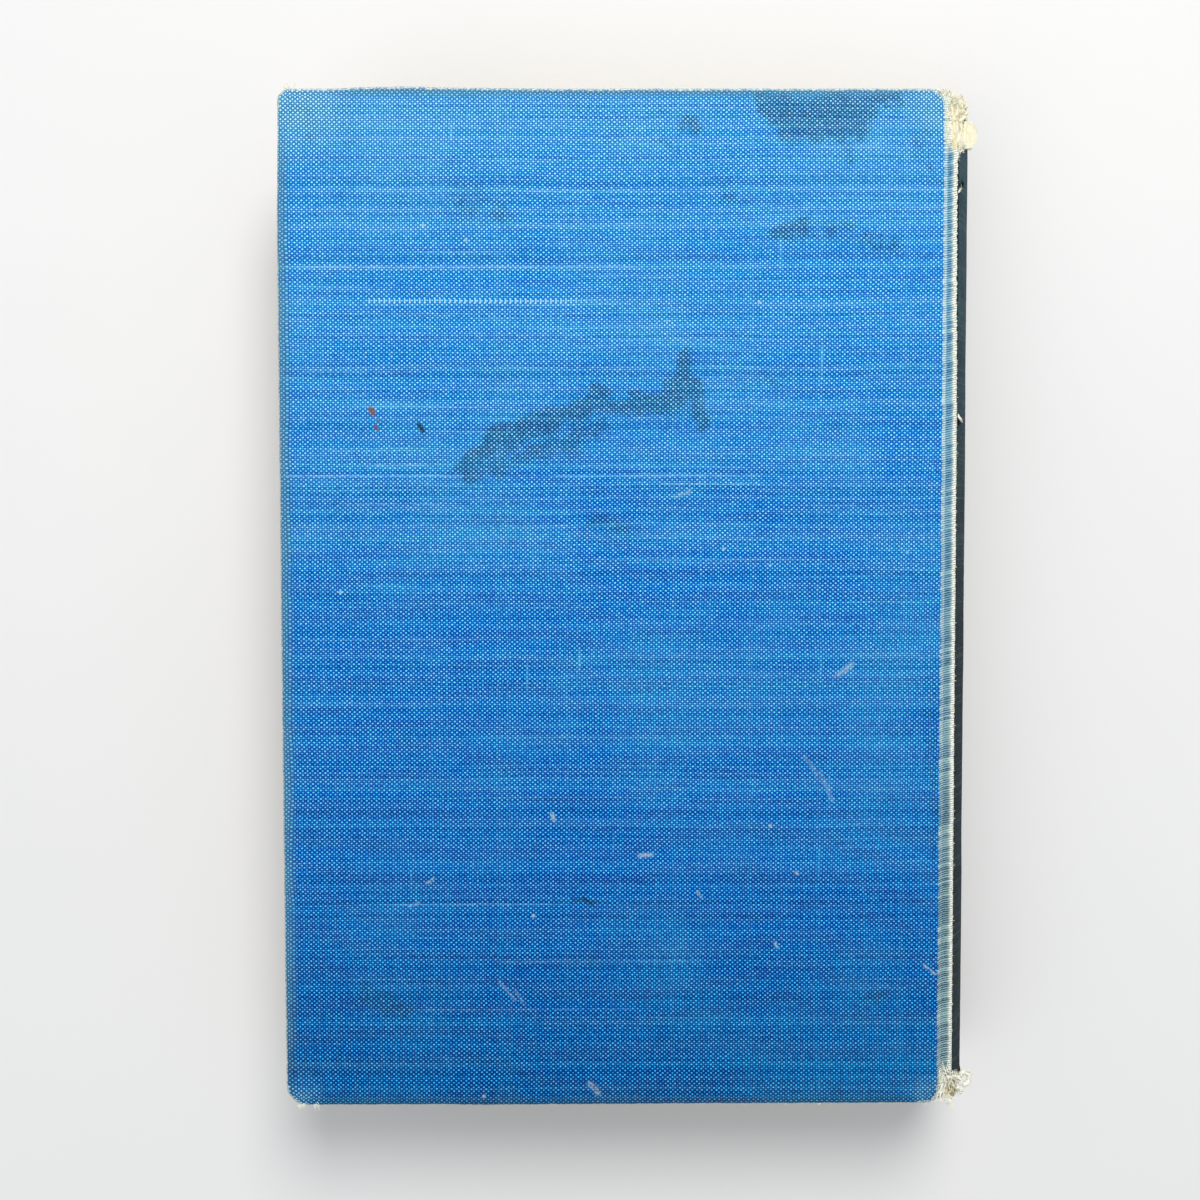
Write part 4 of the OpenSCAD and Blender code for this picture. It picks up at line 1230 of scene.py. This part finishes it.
# the crumpled white loop round the dark hole at the tail, the spike on it, the band beside it and the blob below it
LOOP = [(960, 1076, 23.9), (961.5, 1073, 23.8), (964.5, 1071.5, 23.7), (967.5, 1073.5, 23.5), (969, 1077, 23.3),
        (968.3, 1081, 23.3), (966, 1083.5, 23.5), (963.5, 1085, 23.7)]
BAND = [(948, 1076, 27.0), (952, 1076.5, 26.8), (956, 1077.5, 26.0), (960, 1079, 24.2), (961, 1083, 24.0)]
BLOB = [(957.5, 1088, 25.6), (960, 1089, 24.6), (961.5, 1091, 24.2), (960.5, 1093, 24.2)]
HOOK = [(966, 1071, 24.0), (969, 1071, 23.9), (972, 1074, 23.6)]
for knots, jitter, radii in (
        (LOOP, 0.6, (0.60, 0.52)), (LOOP[::-1], 0.6, (0.60, 0.50)), (LOOP, 2.0, (0.10,) * 14),
        (BAND, 0.9, (0.34, 0.28, 0.22)), (BAND, 1.8, (0.09,) * 14),
        (BLOB, 0.6, (0.56, 0.46, 0.36)), (BLOB, 1.6, (0.10,) * 9), (HOOK, 0.7, (0.18, 0.12, 0.08))):
    for radius in radii:  # each strand runs near its knots and is kinked all along
        curve = spline([at(u + rng.uniform(-jitter, jitter), v + rng.uniform(-jitter, jitter), z)
                        for u, v, z in knots], 16)
        kink = min(0.13, 0.4 * radius)
        block_strands.append(([q + [rng.uniform(-kink, kink) for _ in range(3)] for q in curve], radius))
# scraps of card at the head, and at the tail
for u, v, lean in ((953, 103, 0.3), (955, 99, 0.8), (961, 106, -0.4), (956, 118, 0.6), (960, 124, -0.6)):
    tuft(curls, 1, (u, v, u + 1, v + 1), (0.3, lean, 0.25), 0.3, (0.6, 1.1), 0.60, 0.20, -0.02)
for u, v, lean in ((952, 1083, -0.6), (956, 1088, -0.9), (951, 1090, -1.2)):
    tuft(curls, 1, (u, v, u + 1, v + 1), (0.2, lean, 0.20), 0.25, (0.8, 1.3), 0.50, 0.24, -0.05)
threads("torn_card_curls", M_TORN, "book_block", tucked(curls), 7)

# ---------------------------------------------------------------- folded flaps of torn paper at the head
FLAPS = [  # knots in pixels and mm, width, curl
    ([(955, 104, 26.8), (959, 102.5, 26.6), (963, 103.5, 25.9), (965.5, 105, 24.9), (968, 107, 24.0)], 1.25, 0.35),
    ([(957, 111, 26.8), (961, 110.5, 26.4), (964.5, 111.5, 25.2), (968.5, 113.5, 24.0)], 1.20, 0.40),
    ([(959, 121, 26.5), (962, 119, 26.0), (965, 117, 24.6), (967, 115.5, 24.0)], 0.65, 0.25),
    ([(952.5, 99, 27.2), (955, 104, 27.2), (957, 110, 27.0), (958, 116, 26.8)], 1.10, 0.30),
    ([(951.5, 106, 27.4), (953, 114, 27.4), (954, 124, 27.3), (954.5, 134, 27.2)], 0.70, 0.25),
    ([(961.5, 124, 26.2), (961, 130, 26.2), (960, 137, 26.3), (958.5, 143, 26.4)], 0.75, 0.30)]
FLAKE = [(965, 121.5), (970.5, 121.5), (974.5, 125.5), (978.6, 131.5), (977.3, 137), (972.5, 142), (968, 143.5),
         (962, 147.5), (958.5, 150), (957.5, 147), (961, 141), (963, 132), (963.8, 126)]


def flap(sh, knots, width, curl, seed):
    """A curled scrap of paper along knots."""
    path = spline([at(*k) for k in knots], 16)
    run = directions(path)
    across = np.cross(run, (0, 0, 1.0))
    across /= np.linalg.norm(across, axis=1)[:, None]
    up = np.cross(across, run)
    w = np.linspace(-1, 1, 11)
    outer, inner, _ = blank(len(path), len(w))
    relief = np.zeros((len(path), len(w)))
    for i in range(len(path)):
        taper = 0.60 + 0.40 * math.sin(math.pi * min(1.0, 0.15 + i / 18))
        half = 0.5 * width * taper * (1 + 0.30 * float(noise2(i * 0.5, 0.5, seed)))
        rough = 0.10 * noise2(i * 0.6, w * 2.5, seed + 1) + 0.07 * noise2(i * 1.3, w * 5, seed + 2)
        outer[i] = path[i] + across[i] * (half * w)[:, None] + up[i] * (rough - curl * w * w)[:, None]
        inner[i] = outer[i] - up[i] * 0.11
        relief[i] = 2.0 * rough + 0.12
    outer[:, :, 2] = np.where(outer[:, :, 0] > CLEAR_X, np.minimum(outer[:, :, 2], CLEAR_Z), outer[:, :, 2])
    inner[:, :, 2] = np.minimum(inner[:, :, 2], outer[:, :, 2] - 0.08)
    sheet_into(sh, outer, inner, outer[:, :, :2], np.ones((len(path) - 1, len(w) - 1), bool), relief)


FLAKE_R = 22.02  # its radius where it still follows the card
FLAKE_BOX, FLAKE_CELL = ((61.6, 66.6), (84.6, 91.8)), 0.14
FLAKE_MIDDLE, FLAKE_REACH = (63.6, 88.3), (2.1, 2.2)
BEND_X, BEND_Z, DROOP = 62.7, 25.0, 1.05  # where it bends down, and its slope from there


def drooping(x):
    return BEND_Z - DROOP * (x - BEND_X)


def flake_height(x):
    """The card's flake follows the card's curve and then droops in a straight line."""
    return SPINE_Z + math.sqrt(FLAKE_R ** 2 - (x - SPINE_X) ** 2) if x < BEND_X + 0.05 else drooping(x)


def inside(x, y, corners):
    odd = False
    for (ax, ay), (bx, by) in zip(corners, corners[1:] + corners[:1]):
        if (ay > y) != (by > y) and x < ax + (y - ay) / (by - ay) * (bx - ax):
            odd = not odd
    return odd


def flake_face(sh):
    """The torn face of the card's flake: angular, a little larger than the card, joined to the paper beside it."""
    corners = [on_surface(u, v, 64.0, flake_height, 4) for u, v in FLAKE]
    xs, ys = (np.arange(*span, FLAKE_CELL) for span in FLAKE_BOX)
    grid, relief = np.zeros((len(xs), len(ys), 3)), np.zeros((len(xs), len(ys)))
    for i, x in enumerate(xs):
        bumps = 0.05 * noise2(x / 0.9, ys / 1.1, 83) + 0.03 * noise2(x / 0.35, ys / 0.4, 84)
        z = flake_height(x) + 0.10 + bumps
        grid[i] = row(x, ys, np.minimum(z, CLEAR_Z) if x > CLEAR_X else z)
        relief[i] = 0.16 + 2 * bumps
    keep = np.array([[inside((a + b) / 2, (c + d) / 2, corners) for c, d in zip(ys, ys[1:])]
                     for a, b in zip(xs, xs[1:])])
    sheet_into(sh, grid, grid - (0.09, 0, 0.09), grid[:, :, :2], keep, relief)


flaps = Shell()
flake_face(flaps)
for k, (knots, width, curl) in enumerate(FLAPS):
    flap(flaps, knots, width, curl, 90 + 3 * k)
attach(build("torn_paper_flaps", flaps, M_TORN), "book_block")
for _ in range(34):  # fibres along the edge of the torn flake
    turn = rng.uniform(-1.7, 1.7)
    x, y = (m + r * c for m, r, c in zip(FLAKE_MIDDLE, FLAKE_REACH, (math.cos(turn), math.sin(turn))))
    root, lean = (x, y, drooping(x)), (math.cos(turn), math.sin(turn), -0.8)
    block_strands.append((strand(root, lean, rng.uniform(0.25, 0.55), 0.3, 4), 0.04))
joint_frays = threads("joint_frays", M_THREAD, None, tucked(joint_strands))
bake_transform(joint_frays)
threads("spine_frays", M_THREAD, "book_block", tucked(block_strands))

# ---------------------------------------------------------------- floor, light and background
FLOOR_HALF, FLOOR_Z = 3, -0.0004  # metres
floor_me = bpy.data.meshes.new("floor")
floor_corners = [(x * FLOOR_HALF, y * FLOOR_HALF, FLOOR_Z) for x, y in ((-1, -1), (1, -1), (1, 1), (-1, 1))]
floor_me.from_pydata(floor_corners, [], [(0, 1, 2, 3)])
floor = bpy.data.objects.new("floor", floor_me)
bpy.context.scene.collection.objects.link(floor)
fl = Nodes("pale_floor", 0.9, 0.1)
fx, fy, _ = fl.place()
fl.colour = fl.mix(fl.noise((fx, fy, 0.0), 0.01, 3.0), (0.76, 0.755, 0.745, 1), (0.80, 0.795, 0.785, 1))
floor_me.materials.append(fl.done())
far = (fx * fx + fy * fy).root().step(260.0, 620.0)  # the floor fades out into the background
clear = fl.node("BsdfTransparent", 0, {})
fl.put(fl.out.inputs[0], fl.node("MixShader", 0, {0: far, 1: fl.bsdf.outputs[0], 2: clear}))

world = bpy.data.worlds.new("world")
bpy.context.scene.world = world
world.use_nodes = True
wt = world.node_tree
light_bg, seen_bg = wt.nodes["Background"], wt.nodes.new("ShaderNodeBackground")
for background, colour, strength in ((light_bg, (0.86, 0.90, 0.96, 1), 0.50),
                                     (seen_bg, (0.86, 0.855, 0.845, 1), 1.0)):
    background.inputs[0].default_value, background.inputs[1].default_value = colour, strength
paths, pick = wt.nodes.new("ShaderNodeLightPath"), wt.nodes.new("ShaderNodeMixShader")
seen = paths.outputs["Is Camera Ray"]
for name in ("Is Glossy Ray", "Is Transmission Ray"):
    either = wt.nodes.new("ShaderNodeMath")
    either.operation = "MAXIMUM"
    wt.links.new(seen, either.inputs[0])
    wt.links.new(paths.outputs[name], either.inputs[1])
    seen = either.outputs[0]
for k, source in enumerate((seen, light_bg.outputs[0], seen_bg.outputs[0])):
    wt.links.new(source, pick.inputs[k])
wt.links.new(pick.outputs[0], wt.nodes["World Output"].inputs[0])


def lamp(name, loc, size, power, colour):
    data = bpy.data.lights.new(name, "AREA")
    data.shape, data.size, data.energy, data.color = "DISK", size, power, colour
    ob = bpy.data.objects.new(name, data)
    ob.location = loc
    ob.rotation_euler = (Vector((0, 0, 0.02)) - Vector(loc)).to_track_quat("-Z", "Y").to_euler()
    bpy.context.scene.collection.objects.link(ob)


lamp("window", (0.12, 0.62, 0.80), 0.55, 8.4, (1.0, 0.98, 0.95))
lamp("fill", (-0.45, -0.45, 0.90), 0.9, 2.1, (0.95, 0.97, 1.0))

scene = bpy.context.scene
scene.view_settings.view_transform = "Standard"
